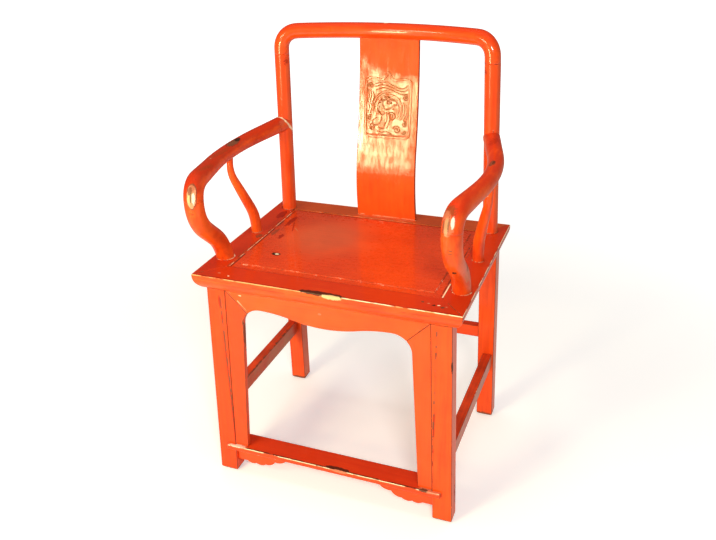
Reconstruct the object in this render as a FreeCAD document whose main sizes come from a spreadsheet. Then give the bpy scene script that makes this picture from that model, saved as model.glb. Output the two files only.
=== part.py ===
import FreeCAD, Part
import math
import os
import re
import Sketcher
from FreeCAD import Placement, Rotation, Vector

# A lacquered armchair of the southern official's hat kind, in millimetres.
# +Z is up, the sitter faces -Y, +X is the right of somebody who looks at the chair from the front.
# The origin is on the floor under the middle of the chair.
# Every right-hand piece is modelled, and its left-hand twin is its mirror image.

os.makedirs("parts", exist_ok=True)
doc = FreeCAD.newDocument("OfficialsHatChair")

# Driving dimensions

SIZES = (
    ("seat_width", 590, "seat frame, side to side"),
    ("seat_depth", 460, "seat frame, front to back"),
    ("seat_height", 523, "top of the seat frame above the floor"),
    ("frame_thickness", 36.5, "seat frame, top to underside"),
    ("end_rail_width", 55, "side members of the seat frame"),
    ("long_rail_width", 58, "front and back members of the seat frame"),
    ("edge_lip", 6, "upright band at the top of the moulded edge"),
    ("edge_recess", 17, "how far the moulded edge runs in at its underside"),
    ("rail_tenon_cover", 6, "wood left outside the frame's corner tenons"),
    ("rail_tenon_width", 14, "frame corner tenon"),
    ("rail_tenon_thickness", 11, "frame corner tenon"),
    ("rail_tenon_inset", 12, "frame corner tenon, from the front or back edge"),
    ("rail_tenon_drop", 17, "frame corner tenon, from the seat top"),
    ("joint_clearance", 0.15, "room round a tenon and at a scribed shoulder"),
    ("panel_gap", 0.6, "open line between the frame and the panel"),
    ("panel_drop", 2, "how far the panel's margin lies below its field"),
    ("panel_margin", 20, "width of the panel's sunk margin"),
    ("panel_thickness", 14, "panel under its margin"),
    ("panel_bevel_angle", 35, "slope of the raised field's edge from upright, in degrees"),
    ("tongue_drop", 4, "top of the panel's tongue below the margin"),
    ("tongue_thickness", 6, "panel tongue"),
    ("tongue_length", 7, "panel tongue, beyond the panel's edge"),
    ("groove_floor_gap", 1, "room for the panel to swell in its groove"),
    ("batten_spacing", 220, "between the two battens' middles"),
    ("batten_width", 32, "batten under the panel"),
    ("batten_height", 18, "batten under the panel"),
    ("dovetail_height", 4, "batten's dovetail in the panel"),
    ("dovetail_neck", 18, "dovetail at its narrowest"),
    ("dovetail_flare", 2, "how far each dovetail side leans out"),
    ("batten_tenon_length", 10, "batten ends in the long rails"),
    ("batten_tenon_height", 8, "batten ends in the long rails"),
    ("batten_tenon_width", 16, "batten ends in the long rails"),
    ("leg_depth", 35, "all legs, front to back"),
    ("front_leg_width", 43.5, "front legs, side to side"),
    ("rear_leg_width", 40, "rear legs, side to side"),
    ("leg_inset_side", 23.5, "seat side edge to the front leg's outer face, at its top"),
    ("leg_inset_front", 17, "seat front edge to the front leg's face, at its top"),
    ("front_splay_side", 13.5, "front foot stands out sideways by this"),
    ("front_splay_front", 13.5, "front foot stands forward by this"),
    ("foot_chamfer", 5, "bevel round each foot"),
    ("leg_tenon_side", 16, "square tenon on the front leg's top"),
    ("leg_tenon_height", 9, "square tenon on the front leg's top"),
    ("post_inset_side", 36.5, "seat side edge to the rear post's axis"),
    ("post_inset_back", 50, "seat back edge to the rear post's axis"),
    ("rear_splay_side", 8, "rear foot stands out sideways by this"),
    ("rear_splay_back", 14, "rear foot stands back by this"),
    ("post_radius", 17.2, "rear post and crest rail"),
    ("post_root_depth", 1, "how far the round post starts inside the square leg"),
    ("post_tenon_radius", 7, "round tenon on the post's top"),
    ("post_tenon_length", 22, "round tenon on the post's top"),
    ("crest_height", 958, "crest rail's axis above the floor"),
    ("crest_inset_side", 50.3, "seat side edge to the crest rail's corner"),
    ("crest_inset_back", 55.4, "seat back edge to the crest rail's corner"),
    ("crest_bend_radius", 37, "bend of the crest rail's ends, on its axis"),
    ("crest_sweep_angle", 22.6, "crest rail's turn to the back at its corner, in degrees"),
    ("crest_joint_drop", 50, "pipe joint below the crest rail's axis"),
    ("splat_foot_width", 148, "back splat at the seat"),
    ("splat_head_width", 141, "back splat at the crest rail"),
    ("splat_thickness", 11, "back splat"),
    ("splat_inset_back", 37, "seat back edge to the splat's middle, at the seat"),
    ("splat_belly_reach", 8, "how far the splat's belly comes forward"),
    ("splat_belly_height", 80, "splat's foremost point above the seat"),
    ("splat_turn_height", 170, "where the splat's curve turns over, above the seat"),
    ("splat_tenon_thickness", 6, "splat's tenons"),
    ("splat_tenon_depth", 14, "splat's foot tenon in the back rail"),
    ("splat_tenon_shoulder", 20, "splat's side to its tenon's side"),
    ("splat_head_tenon", 9, "splat's head tenon inside the crest rail"),
    ("neck_foot_radius", 19, "gooseneck at the seat"),
    ("neck_radius", 20, "gooseneck at its top, and the arm's front end"),
    ("neck_inset_side", 27.4, "seat side edge to the gooseneck's axis"),
    ("neck_setback", 101, "seat front edge to the gooseneck's foot"),
    ("neck_low_setback", 84, "seat front edge to the gooseneck's lower bend"),
    ("neck_low_height", 47, "gooseneck's lower bend above the seat"),
    ("neck_high_height", 119, "gooseneck's upper bend above the seat"),
    ("neck_low_bend", 98, "radius of the gooseneck's lower bend, on its axis"),
    ("neck_high_bend", 89, "radius of the gooseneck's upper bend, on its axis"),
    ("neck_tenon_radius", 11, "gooseneck's round foot tenon"),
    ("neck_tenon_depth", 20, "gooseneck's round foot tenon"),
    ("arm_front_setback", 6, "seat front edge to the knuckle's axis"),
    ("arm_height", 200.5, "arm's axis above the seat, at the knuckle"),
    ("arm_joint_height", 164, "pipe joint between gooseneck and arm, above the seat"),
    ("knuckle_radius", 34, "bend of the arm at the knuckle, on its axis"),
    ("arm_bow", 2.5, "arm's first bend stands out past the seat edge by this"),
    ("arm_bow_setback", 165, "seat front edge to the arm's first bend"),
    ("arm_bow_rise", 5.5, "arm's first bend above the knuckle"),
    ("arm_turn_inset", 5.4, "seat side edge to the arm's second bend"),
    ("arm_turn_setback", 263, "seat front edge to the arm's second bend"),
    ("arm_turn_rise", 9, "arm's second bend above the knuckle"),
    ("arm_end_rise", 22, "arm's end on the post above the knuckle"),
    ("arm_bow_bend", 200, "radius of the arm's first bend, on its axis"),
    ("arm_turn_bend", 350, "radius of the arm's second bend, on its axis"),
    ("arm_shoulder_radius", 18, "arm behind the knuckle"),
    ("arm_middle_radius", 17, "arm at its thinnest, between its two bends"),
    ("arm_end_radius", 17, "arm where it meets the post"),
    ("arm_tenon_radius", 7, "arm's tenons, in the post and from the gooseneck"),
    ("arm_tenon_length", 15, "gooseneck's tenon in the arm"),
    ("spindle_foot_radius", 12, "side spindle at the seat"),
    ("spindle_middle_radius", 10, "side spindle between its bends"),
    ("spindle_head_radius", 7, "side spindle at the arm"),
    ("spindle_inset_side", 28.5, "seat side edge to the spindle's foot"),
    ("spindle_setback", 248, "seat front edge to the spindle's foot"),
    ("spindle_low_setback", 243.5, "seat front edge to the spindle's lower bend"),
    ("spindle_low_height", 46, "spindle's lower bend above the seat"),
    ("spindle_high_inset", 1, "seat side edge to the spindle's upper bend"),
    ("spindle_high_setback", 199, "seat front edge to the spindle's upper bend"),
    ("spindle_high_height", 160, "spindle's upper bend above the seat"),
    ("spindle_head_setback", 209, "seat front edge to the spindle's head"),
    ("spindle_low_bend", 118, "radius of the spindle's lower bend, on its axis"),
    ("spindle_high_bend", 69, "radius of the spindle's upper bend, on its axis"),
    ("spindle_tenon_radius", 7, "spindle's foot tenon"),
    ("spindle_tenon_depth", 14, "spindle's foot tenon"),
    ("apron_thickness", 12, "arch and footrest apron"),
    ("apron_reveal", 1, "arch behind the leg faces"),
    ("arch_side_width", 40, "arch side where its straight edge starts"),
    ("arch_foot_width", 32.3, "arch side at the footrest"),
    ("arch_corner_radius", 42, "rounded corners of the arch"),
    ("arch_head_depth", 37, "arch head at the corners' crown"),
    ("arch_belly", 18, "how far the arch head hangs lower in its middle"),
    ("footrest_height", 80, "top of the footrest above the floor"),
    ("footrest_thickness", 12.5, "footrest plank"),
    ("footrest_width", 54, "footrest plank, front to back"),
    ("footrest_overhang", 7, "footrest in front of the leg faces"),
    ("footrest_ear", 20, "footrest's scribed end over each leg's face"),
    ("footrest_tenon_width", 16, "footrest's tenon in the leg"),
    ("footrest_tenon_height", 7, "footrest's tenon in the leg"),
    ("foot_apron_recess", 8, "footrest apron behind the leg faces"),
    ("foot_apron_depth", 39, "footrest apron at the legs, below the plank"),
    ("foot_apron_reach", 130, "length of each scalloped end"),
    ("side_stretcher_height", 193.5, "top of the side stretchers above the floor"),
    ("side_stretcher_depth", 35, "side stretchers, top to underside"),
    ("side_stretcher_width", 22.5, "side stretchers, side to side"),
    ("side_stretcher_reveal", 1, "side stretcher inside the front leg's outer face"),
    ("rear_stretcher_height", 265, "top of the rear stretcher above the floor"),
    ("rear_stretcher_depth", 31, "rear stretcher, top to underside"),
    ("rear_stretcher_width", 20, "rear stretcher, front to back"),
    ("stretcher_tenon_thickness", 9, "all stretcher tenons"),
    ("stretcher_tenon_shoulder", 5, "stretcher's top to its tenon's top"),
    ("cut_overrun", 10, "how far a cutting shape runs past what it cuts"),
)

sheet = doc.addObject("Spreadsheet::Sheet", "sizes")
for row, (alias, value, meaning) in enumerate(SIZES, start=1):
    sheet.set(f"A{row}", meaning)
    sheet.set(f"B{row}", str(value))
    sheet.setAlias(f"B{row}", alias)
doc.recompute()

ALIASES = {alias for alias, _, _ in SIZES}


def bound(expression):
    """Returns an expression with every size name pointed at the sheet."""
    return re.sub(r"[a-z_]+", lambda m: f"sizes.{m[0]}" if m[0] in ALIASES else m[0], str(expression))


def number(expression):
    """Returns the value of an expression written in size names."""
    return float(sheet.evalExpression(bound(expression)))


def place(x, y, z):
    """Returns a point from three expressions."""
    return Vector(number(x), number(y), number(z))


def between(low, high, height, low_height, high_height):
    """Returns the expression of a straight line from low to high, read at one height."""
    return f"({low} + ({high} - {low}) * ({height} - {low_height}) / ({high_height} - {low_height}))"


# Places that several pieces share, as expressions

UNDERSIDE = "(seat_height - frame_thickness)"
FRONT_TOP_X = "(seat_width / 2 - leg_inset_side - front_leg_width / 2)"
FRONT_TOP_Y = "(-(seat_depth / 2) + leg_inset_front + leg_depth / 2)"
REAR_TOP_X = "(seat_width / 2 - post_inset_side)"
REAR_TOP_Y = "(seat_depth / 2 - post_inset_back)"
CREST_X = "(seat_width / 2 - crest_inset_side)"
CREST_Y = "(seat_depth / 2 - crest_inset_back)"
CREST_JOINT = "(crest_height - crest_joint_drop)"


def front_x(height):
    return between(f"({FRONT_TOP_X} + front_splay_side)", FRONT_TOP_X, height, "0", UNDERSIDE)


def front_y(height):
    return between(f"({FRONT_TOP_Y} - front_splay_front)", FRONT_TOP_Y, height, "0", UNDERSIDE)


def rear_x(height):
    return between(f"({REAR_TOP_X} + rear_splay_side)", REAR_TOP_X, height, "0", UNDERSIDE)


def rear_y(height):
    return between(f"({REAR_TOP_Y} + rear_splay_back)", REAR_TOP_Y, height, "0", UNDERSIDE)


def post_x(height):
    return between(REAR_TOP_X, CREST_X, height, UNDERSIDE, "crest_height")


def post_y(height):
    return between(REAR_TOP_Y, CREST_Y, height, UNDERSIDE, "crest_height")


def leg_inner(height):
    return f"({front_x(height)} - front_leg_width / 2)"


def leg_face(height):
    return f"({front_y(height)} - leg_depth / 2)"


# Sketches, bodies and booleans

XY, XZ, YZ = "XY_Plane", "XZ_Plane", "YZ_Plane"


def new_body(name):
    """Returns an empty body."""
    return doc.addObject("PartDesign::Body", name)


def new_sketch(body, name, plane, height=None):
    """Returns a sketch on one of the body's own origin planes, lifted by an expression."""
    sketch = body.newObject("Sketcher::SketchObject", name)
    support = next(feature for feature in body.Origin.OriginFeatures if feature.Role == plane)
    sketch.AttachmentSupport = [(support, "")]
    sketch.MapMode = "FlatFace"
    if height is not None:
        sketch.setExpression("AttachmentOffset.Base.z", bound(height))
    return sketch


def pin(sketch, kind, geometry, end, name, expression):
    """Ties one coordinate of a sketch point to an expression."""
    value = number(expression)
    index = sketch.addConstraint(Sketcher.Constraint(kind, -1, 1, geometry, end, value))
    sketch.renameConstraint(index, name)
    sketch.setExpression(f"Constraints.{name}", bound(expression))


def chord(first, last):
    """Returns the expression of the distance between two points."""
    squares = [f"({there} - ({here}))^2" for here, there in zip(first, last)]
    return f"sqrt({' + '.join(squares)})"


def bulge_radius(first, last, bulge_share):
    """Returns the radius of an arc whose height is a share of its chord."""
    return f"({chord(first, last)} * {1 / (8 * bulge_share) + bulge_share / 2})"


def arc_between(first, last, radius, side):
    """Returns the short arc from first to last with its centre to the left (side 1) or right (-1)."""
    run = last - first
    left = Vector(-run.y, run.x, 0).normalize()
    centre = (first + last) / 2 + left * side * math.sqrt(max(radius ** 2 - (run.Length / 2) ** 2, 0))
    low, high = (first, last) if side > 0 else (last, first)
    angles = [math.atan2(point.y - centre.y, point.x - centre.x) for point in (low, high)]
    if angles[1] < angles[0]:
        angles[1] += 2 * math.pi
    return Part.ArcOfCircle(Part.Circle(centre, Vector(0, 0, 1), radius), *angles)


def outline(sketch, points, arcs=None):
    """Draws one closed outline; arcs maps a side's number to (radius expression, centre's side).

    In a sketch, 1 is a line's or arc's first end and 2 its last.
    """
    arcs = arcs or {}
    places = [Vector(number(x), number(y), 0) for x, y in points]
    ends = []
    for number_of_side, (first, last) in enumerate(zip(places, places[1:] + places[:1])):
        if number_of_side in arcs:
            radius, side = arcs[number_of_side]
            geometry = sketch.addGeometry(arc_between(first, last, number(radius), side))
            ends.append((geometry, 1, 2) if side > 0 else (geometry, 2, 1))
        else:
            ends.append((sketch.addGeometry(Part.LineSegment(first, last)), 1, 2))
    for (geometry, _, finish), (following, begin, _) in zip(ends, ends[1:] + ends[:1]):
        sketch.addConstraint(Sketcher.Constraint("Coincident", geometry, finish, following, begin))
    for (geometry, begin, _), (x, y) in zip(ends, points):
        pin(sketch, "DistanceX", geometry, begin, f"x{geometry}", x)
        pin(sketch, "DistanceY", geometry, begin, f"y{geometry}", y)
    for number_of_side, (radius, _) in arcs.items():
        geometry = ends[number_of_side][0]
        index = sketch.addConstraint(Sketcher.Constraint("Radius", geometry, number(radius)))
        sketch.renameConstraint(index, f"radius{geometry}")
        sketch.setExpression(f"Constraints.radius{geometry}", bound(radius))
    return sketch


def rectangle(sketch, x, y, width, depth):
    """Draws a rectangle about a middle point."""
    return outline(sketch, [(f"{x} + {i} * ({width}) / 2", f"{y} + {j} * ({depth}) / 2")
                            for i, j in ((-1, -1), (1, -1), (1, 1), (-1, 1))])


def pad(body, name, sketch, length, both_ways=True):
    """Pads a sketch by an expression, about its plane or to its front."""
    feature = body.newObject("PartDesign::Pad", name)
    feature.Profile = sketch
    feature.setExpression("Length", bound(length))
    feature.Midplane = both_ways
    return feature


def block(name, x, y, z):
    """Returns a box between pairs of expressions."""
    box = doc.addObject("Part::Box", name)
    for side, axis, (low, high) in zip(("Length", "Width", "Height"), "xyz", (x, y, z)):
        box.setExpression(side, bound(f"{high} - ({low})"))
        box.setExpression(f"Placement.Base.{axis}", bound(low))
    return box


def widened(*spans):
    """Returns spans with the joint clearance added at both ends."""
    return [(f"({low}) - joint_clearance", f"({high}) + joint_clearance") for low, high in spans]


def centred(middle, width):
    """Returns the span of a width about a middle."""
    return f"({middle}) - ({width}) / 2", f"({middle}) + ({width}) / 2"


def rod(name, x, y, low, high, radius):
    """Returns an upright cylinder between two heights."""
    cylinder = doc.addObject("Part::Cylinder", name)
    cylinder.setExpression("Radius", bound(radius))
    cylinder.setExpression("Height", bound(f"{high} - ({low})"))
    for axis, place in zip("xyz", (x, y, low)):
        cylinder.setExpression(f"Placement.Base.{axis}", bound(place))
    return cylinder


def shape_feature(name, shape):
    """Returns a feature that holds a shape made with Part's own functions."""
    feature = doc.addObject("Part::Feature", name)
    feature.Shape = shape
    return feature


def joined(name, objects):
    """Returns the union of objects."""
    union = doc.addObject("Part::MultiFuse", name)
    union.Shapes = objects
    union.Refine = True
    return union


def without(name, base, tools):
    """Returns the base with every tool cut away."""
    tool = tools[0] if len(tools) == 1 else joined(f"{name}_cutters", tools)
    cut = doc.addObject("Part::Cut", name)
    cut.Base = base
    cut.Tool = tool
    cut.Refine = True
    return cut


def shared(name, base, tool):
    """Returns what two objects have in common."""
    common = doc.addObject("Part::Common", name)
    common.Base = base
    common.Tool = tool
    return common


def mirrored(name, source):
    """Returns the left-hand image of an object."""
    image = doc.addObject("Part::Mirroring", name)
    image.Source = source
    image.Normal = Vector(1, 0, 0)
    return image


def both_sides(source):
    """Returns an object and its left-hand image."""
    return [source, mirrored(f"{source.Name}_left", source)]


PIECES = []


def keep(label, feature):
    """Names a finished piece."""
    feature.Label = label
    PIECES.append(feature)


def keep_pair(label, feature):
    """Names a right-hand piece and its left-hand twin."""
    keep(f"{label}_right", feature)
    keep(f"{label}_left", mirrored(f"{label}_mirrored", feature))


# Round rails: straight runs joined by tangent arcs

# How much of a run its bend may take: of an end run, and of a run between two bends
END_RUN_SHARE, INNER_RUN_SHARE = 0.98, 0.49
# The most that a bar turns from ring to ring, as a share of a full turn
RING_TURN_SHARE = 0.045


def route(points, bends):
    """Returns the edges of a route through points, with one bend radius for each inner point."""
    edges, start = [], points[0]
    for index, bend in enumerate(bends, start=1):
        before, corner, after = points[index - 1:index + 2]
        turn = (corner - before).getAngle(after - corner)
        room = [(corner - before).Length * (END_RUN_SHARE if index == 1 else INNER_RUN_SHARE),
                (after - corner).Length * (END_RUN_SHARE if index == len(bends) else INNER_RUN_SHARE)]
        reach = min(bend * math.tan(turn / 2), *room)
        incoming = (before - corner).normalize()
        outgoing = (after - corner).normalize()
        first, last = corner + incoming * reach, corner + outgoing * reach
        to_centre = (incoming + outgoing).normalize()
        middle = corner + to_centre * (reach / math.sin(turn / 2) - reach / math.tan(turn / 2))
        edges += [Part.LineSegment(start, first).toShape(), Part.Arc(first, middle, last).toShape()]
        start = last
    return [*edges, Part.LineSegment(start, points[-1]).toShape()]


def end_of(edge):
    """Returns the place where an edge ends."""
    return edge.valueAt(edge.LastParameter)


def tangent(edge, parameter):
    """Returns an edge's direction at a parameter."""
    return Vector(edge.tangentAt(parameter)).normalize()


def ring(spot, along, across, radius):
    """Returns a circular wire whose seam lies along the across direction."""
    circle_wire = Part.Wire([Part.Circle(Vector(), Vector(0, 0, 1), radius).toShape()])
    circle_wire.Placement = Placement(spot, Rotation(across, along.cross(across), along, "ZXY"))
    return circle_wire


def stations(edges, radii):
    """Returns places, directions and radii along edges; radii holds one more than there are edges."""
    found = []
    for edge, low, high in zip(edges, radii, radii[1:]):
        first, last = edge.FirstParameter, edge.LastParameter
        turn = tangent(edge, first).getAngle(tangent(edge, last))
        steps = max(1, math.ceil(turn / (2 * math.pi * RING_TURN_SHARE)))
        for step in range(steps):
            parameter = first + (last - first) * step / steps
            found.append((edge.valueAt(parameter), tangent(edge, parameter), low + (high - low) * step / steps))
    return [*found, (end_of(edges[-1]), tangent(edges[-1], edges[-1].LastParameter), radii[-1])]


def tube(edges, radii):
    """Returns a round bar along edges, which swells or narrows in its bends."""
    found = stations(edges, radii)
    before = found[0][1]
    across = before.cross(Vector(1, 0, 0) if abs(before.x) < abs(before.z) else Vector(0, 0, 1)).normalize()
    rings = []
    for spot, along, radius in found:
        across = Rotation(before, along).multVec(across)
        before = along
        rings.append(ring(spot, along, across, radius))
    return Part.makeLoft(rings, True, True)


# Legs

def splayed_bar(name, x, y, width, low, high, low_bevel="0"):
    """Returns a square bar between two heights; x and y give its middle at a height."""
    bar = doc.addObject("Part::Wedge", name)
    bar.Placement = Placement(Vector(), Rotation(Vector(1, 0, 0), 90))
    bar.setExpression("Ymin", bound(low))
    bar.setExpression("Ymax", bound(high))
    for end, height, bevel in (("", low, low_bevel), ("2", high, "0")):
        half_width, half_depth = f"({width} / 2 - {bevel})", f"(leg_depth / 2 - {bevel})"
        bar.setExpression(f"X{end}min", bound(f"{x(height)} - {half_width}"))
        bar.setExpression(f"X{end}max", bound(f"{x(height)} + {half_width}"))
        bar.setExpression(f"Z{end}min", bound(f"-({y(height)}) - {half_depth}"))
        bar.setExpression(f"Z{end}max", bound(f"-({y(height)}) + {half_depth}"))
    return bar


def post_rod(name, low, high, radius):
    """Returns a round bar on the rear post's leaning axis, between two heights on it."""
    ends = [(post_x(height), post_y(height), height) for height in (low, high)]
    cylinder = doc.addObject("Part::Cylinder", name)
    cylinder.setExpression("Radius", bound(radius))
    cylinder.setExpression("Height", bound(chord(*ends)))
    foot, head = (place(*end) for end in ends)
    cylinder.Placement = Placement(foot, Rotation(Vector(0, 0, 1), head - foot))
    return cylinder


def front_leg_blank():
    """Models the splayed square front leg with its bevelled foot."""
    foot = splayed_bar("front_foot", front_x, front_y, "front_leg_width", "0", "foot_chamfer", "foot_chamfer")
    shank = splayed_bar("front_shank", front_x, front_y, "front_leg_width", "foot_chamfer", UNDERSIDE)
    return joined("front_leg_blank", [foot, shank])


def rear_leg_blank():
    """Models the rear leg: square below the seat, a round post above it."""
    foot = splayed_bar("rear_foot", rear_x, rear_y, "rear_leg_width", "0", "foot_chamfer", "foot_chamfer")
    shank = splayed_bar("rear_shank", rear_x, rear_y, "rear_leg_width", "foot_chamfer", UNDERSIDE)
    post = post_rod("post", f"({UNDERSIDE} - post_root_depth)", CREST_JOINT, "post_radius")
    return joined("rear_leg_blank", [foot, shank, post])


# Seat frame

RAIL_TENON_TOP = "(seat_height - rail_tenon_drop)"
MARGIN_TOP = "(seat_height - panel_drop)"
TONGUE_TOP = f"({MARGIN_TOP} - tongue_drop)"
GROOVE_DEPTH = "(tongue_length - panel_gap + groove_floor_gap)"
EDGE_RADIUS = "(edge_recess^2 + (frame_thickness - edge_lip)^2) / (2 * edge_recess)"


def rail_profile(sketch, outer, inward, width):
    """Draws a frame member's section: a moulded outer edge and a grooved inner one."""
    inner = f"({outer} + {inward} * {width})"
    floor_of_groove = f"({inner} - {inward} * {GROOVE_DEPTH})"
    groove_top = f"{TONGUE_TOP} + joint_clearance"
    groove_bottom = f"{TONGUE_TOP} - tongue_thickness - joint_clearance"
    points = [(outer, "seat_height"), (outer, "seat_height - edge_lip"),
              (f"{outer} + {inward} * edge_recess", UNDERSIDE), (inner, UNDERSIDE),
              (inner, groove_bottom), (floor_of_groove, groove_bottom), (floor_of_groove, groove_top),
              (inner, groove_top), (inner, "seat_height")]
    return outline(sketch, points, {1: (EDGE_RADIUS, inward)})


MITRE_OVERRUN_SHARE = 0.2


def mitre_triangle(sketch, along_x, along_y, long_rail):
    """Draws the waste beyond one mitre line, for a long rail or for an end rail."""
    share = MITRE_OVERRUN_SHARE
    outer_x = f"{along_x} * (seat_width / 2 + {share} * end_rail_width)"
    outer_y = f"{along_y} * (seat_depth / 2 + {share} * long_rail_width)"
    inner_x = f"{along_x} * (seat_width / 2 - {1 + share} * end_rail_width)"
    inner_y = f"{along_y} * (seat_depth / 2 - {1 + share} * long_rail_width)"
    waste = (outer_x, inner_y) if long_rail else (inner_x, outer_y)
    return outline(sketch, [(outer_x, outer_y), (inner_x, inner_y), waste])


def mitred_rail(name, plane, outer, inward, width, length, corners, long_rail):
    """Models one frame member and mitres both its ends."""
    body = new_body(name)
    pad(body, f"{name}_length", rail_profile(new_sketch(body, f"{name}_profile", plane), outer, inward, width),
        length)
    doc.recompute()
    whole = body.Shape.Volume
    for index, (along_x, along_y) in enumerate(corners):
        sketch = mitre_triangle(new_sketch(body, f"{name}_mitre_{index}", XY), along_x, along_y, long_rail)
        pocket = body.newObject("PartDesign::Pocket", f"{name}_mitre_cut_{index}")
        pocket.Profile = sketch
        pocket.Type = "ThroughAll"
        pocket.Midplane = True
        doc.recompute()
        assert body.Shape.Volume < whole, f"{name}: the mitre cut nothing"
        whole = body.Shape.Volume
    return body


def rail_tenon(side):
    """Returns the spans of the tenon on a long rail's right end; side is -1 in front, 1 at the back."""
    outer = "(seat_depth / 2 - rail_tenon_inset)"
    inner = f"({outer} - rail_tenon_width)"
    y = (f"-{outer}", f"-{inner}") if side < 0 else (inner, outer)
    return (("seat_width / 2 - end_rail_width", "seat_width / 2 - rail_tenon_cover"), y,
            (f"{RAIL_TENON_TOP} - rail_tenon_thickness", RAIL_TENON_TOP))


BATTEN_X = "(batten_spacing / 2)"
BATTEN_TOP = f"({MARGIN_TOP} - panel_thickness)"
BATTEN_BOTTOM = f"({BATTEN_TOP} - batten_height)"
OPENING_Y = "(seat_depth / 2 - long_rail_width)"
OPENING_X = "(seat_width / 2 - end_rail_width)"


def batten_tenon():
    """Returns the spans of a batten's tenons, from the front rail to the back rail."""
    reach = f"({OPENING_Y} + batten_tenon_length)"
    middle = f"({BATTEN_TOP} - batten_height / 2)"
    return centred(BATTEN_X, "batten_tenon_width"), (f"-{reach}", reach), centred(middle, "batten_tenon_height")


def batten_profile(sketch, clearance):
    """Draws a batten's section with the dovetail on its top."""
    points = []
    for side in (1, -1):
        half_neck = f"(dovetail_neck / 2 + {clearance})"
        half = [("batten_width / 2", BATTEN_BOTTOM), ("batten_width / 2", BATTEN_TOP), (half_neck, BATTEN_TOP),
                (f"({half_neck} + dovetail_flare)", f"{BATTEN_TOP} + dovetail_height + {clearance}")]
        half = [(f"{BATTEN_X} + {side} * {x}", y) for x, y in half]
        points += half if side > 0 else half[::-1]
    return outline(sketch, points)


def panel_blank():
    """Models the seat panel: plate, raised field with sloping edges, and tongue."""
    body = new_body("panel_blank")
    half_x, half_y = f"({OPENING_X} - panel_gap)", f"({OPENING_Y} - panel_gap)"
    plate = rectangle(new_sketch(body, "PanelPlate", XY, BATTEN_TOP), "0", "0", f"2 * {half_x}", f"2 * {half_y}")
    pad(body, "PanelThickness", plate, "panel_thickness", both_ways=False)
    field = rectangle(new_sketch(body, "PanelField", XY, MARGIN_TOP), "0", "0",
                      f"2 * ({half_x} - panel_margin)", f"2 * ({half_y} - panel_margin)")
    raised = pad(body, "PanelRaisedField", field, "panel_drop", both_ways=False)
    raised.setExpression("TaperAngle", bound("-panel_bevel_angle"))
    tongue = rectangle(new_sketch(body, "PanelTongueOutline", XY, f"{TONGUE_TOP} - tongue_thickness"), "0", "0",
                       f"2 * ({half_x} + tongue_length)", f"2 * ({half_y} + tongue_length)")
    pad(body, "PanelTongue", tongue, "tongue_thickness", both_ways=False)
    return body


def batten_blank(name, clearance, length):
    """Models a batten, or the same shape with clearance to cut its groove."""
    body = new_body(name)
    pad(body, f"{name}_length", batten_profile(new_sketch(body, f"{name}_profile", XZ), clearance), length)
    return body


# Front arch and footrest apron

ARCH_CROWN = f"({UNDERSIDE} - arch_head_depth)"
ARCH_SPRING = f"({ARCH_CROWN} - arch_corner_radius)"
ARCH_X = f"({leg_inner(ARCH_SPRING)} - arch_side_width)"
ARCH_FOOT_X = f"({leg_inner('footrest_height')} - arch_foot_width)"
ARCH_CORNER_X = f"({ARCH_X} - arch_corner_radius)"
DIAGONAL_SHARE = math.sqrt(0.5)
ARCH_MITRE = (f"({ARCH_CORNER_X} + {DIAGONAL_SHARE} * arch_corner_radius)",
              f"({ARCH_SPRING} + {DIAGONAL_SHARE} * arch_corner_radius)")
BELLY_RADIUS = f"(({ARCH_CORNER_X} / 2)^2 + (arch_belly / 2)^2) / arch_belly"


def apron_slab(name, setback):
    """Models the leaning layer of wood between the legs that an apron is cut from."""
    body = new_body(name)
    low, high = f"({leg_face('0')} + {setback})", f"({leg_face(UNDERSIDE)} + {setback})"
    sketch = outline(new_sketch(body, f"{name}_side", YZ), [
        (low, "0"), (f"{low} + apron_thickness", "0"), (f"{high} + apron_thickness", UNDERSIDE), (high, UNDERSIDE)])
    pad(body, f"{name}_width", sketch, "seat_width")
    return body


def arch_head_blank():
    """Models the arch head: mitred ends, rounded corners and a hanging belly."""
    body = new_body("arch_head_blank")
    half_belly = f"({ARCH_CROWN} - arch_belly / 2)"
    right = [(leg_inner(UNDERSIDE), UNDERSIDE), ARCH_MITRE, (ARCH_CORNER_X, ARCH_CROWN),
             (f"{ARCH_CORNER_X} / 2", half_belly)]
    left = [(f"-({x})", z) for x, z in reversed(right)]
    arcs = {1: ("arch_corner_radius", 1), 2: (BELLY_RADIUS, 1), 3: (BELLY_RADIUS, -1), 4: (BELLY_RADIUS, 1),
            5: ("arch_corner_radius", 1)}
    outline(sketch := new_sketch(body, "ArchHeadOutline", XZ), right + left, arcs)
    pad(body, "ArchHeadPad", sketch, "seat_depth")
    return body


def arch_side_blank():
    """Models the right side of the arch, from the mitre down to the footrest."""
    body = new_body("arch_side_blank")
    points = [(leg_inner(UNDERSIDE), UNDERSIDE), ARCH_MITRE, (ARCH_X, ARCH_SPRING),
              (ARCH_FOOT_X, "footrest_height"), (leg_inner("footrest_height"), "footrest_height")]
    outline(sketch := new_sketch(body, "ArchSideOutline", XZ), points, {1: ("arch_corner_radius", -1)})
    pad(body, "ArchSidePad", sketch, "seat_depth")
    return body


# Scalloped ends of the footrest apron: along from the leg, and depth, as shares of reach and depth
SCALLOP_CUSP_SHARES = ((0.18, 0.90), (0.36, 0.95), (0.55, 0.90), (0.74, 0.58), (1.0, 0.14))
SCALLOP_BULGE_SHARE = 0.16


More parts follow.
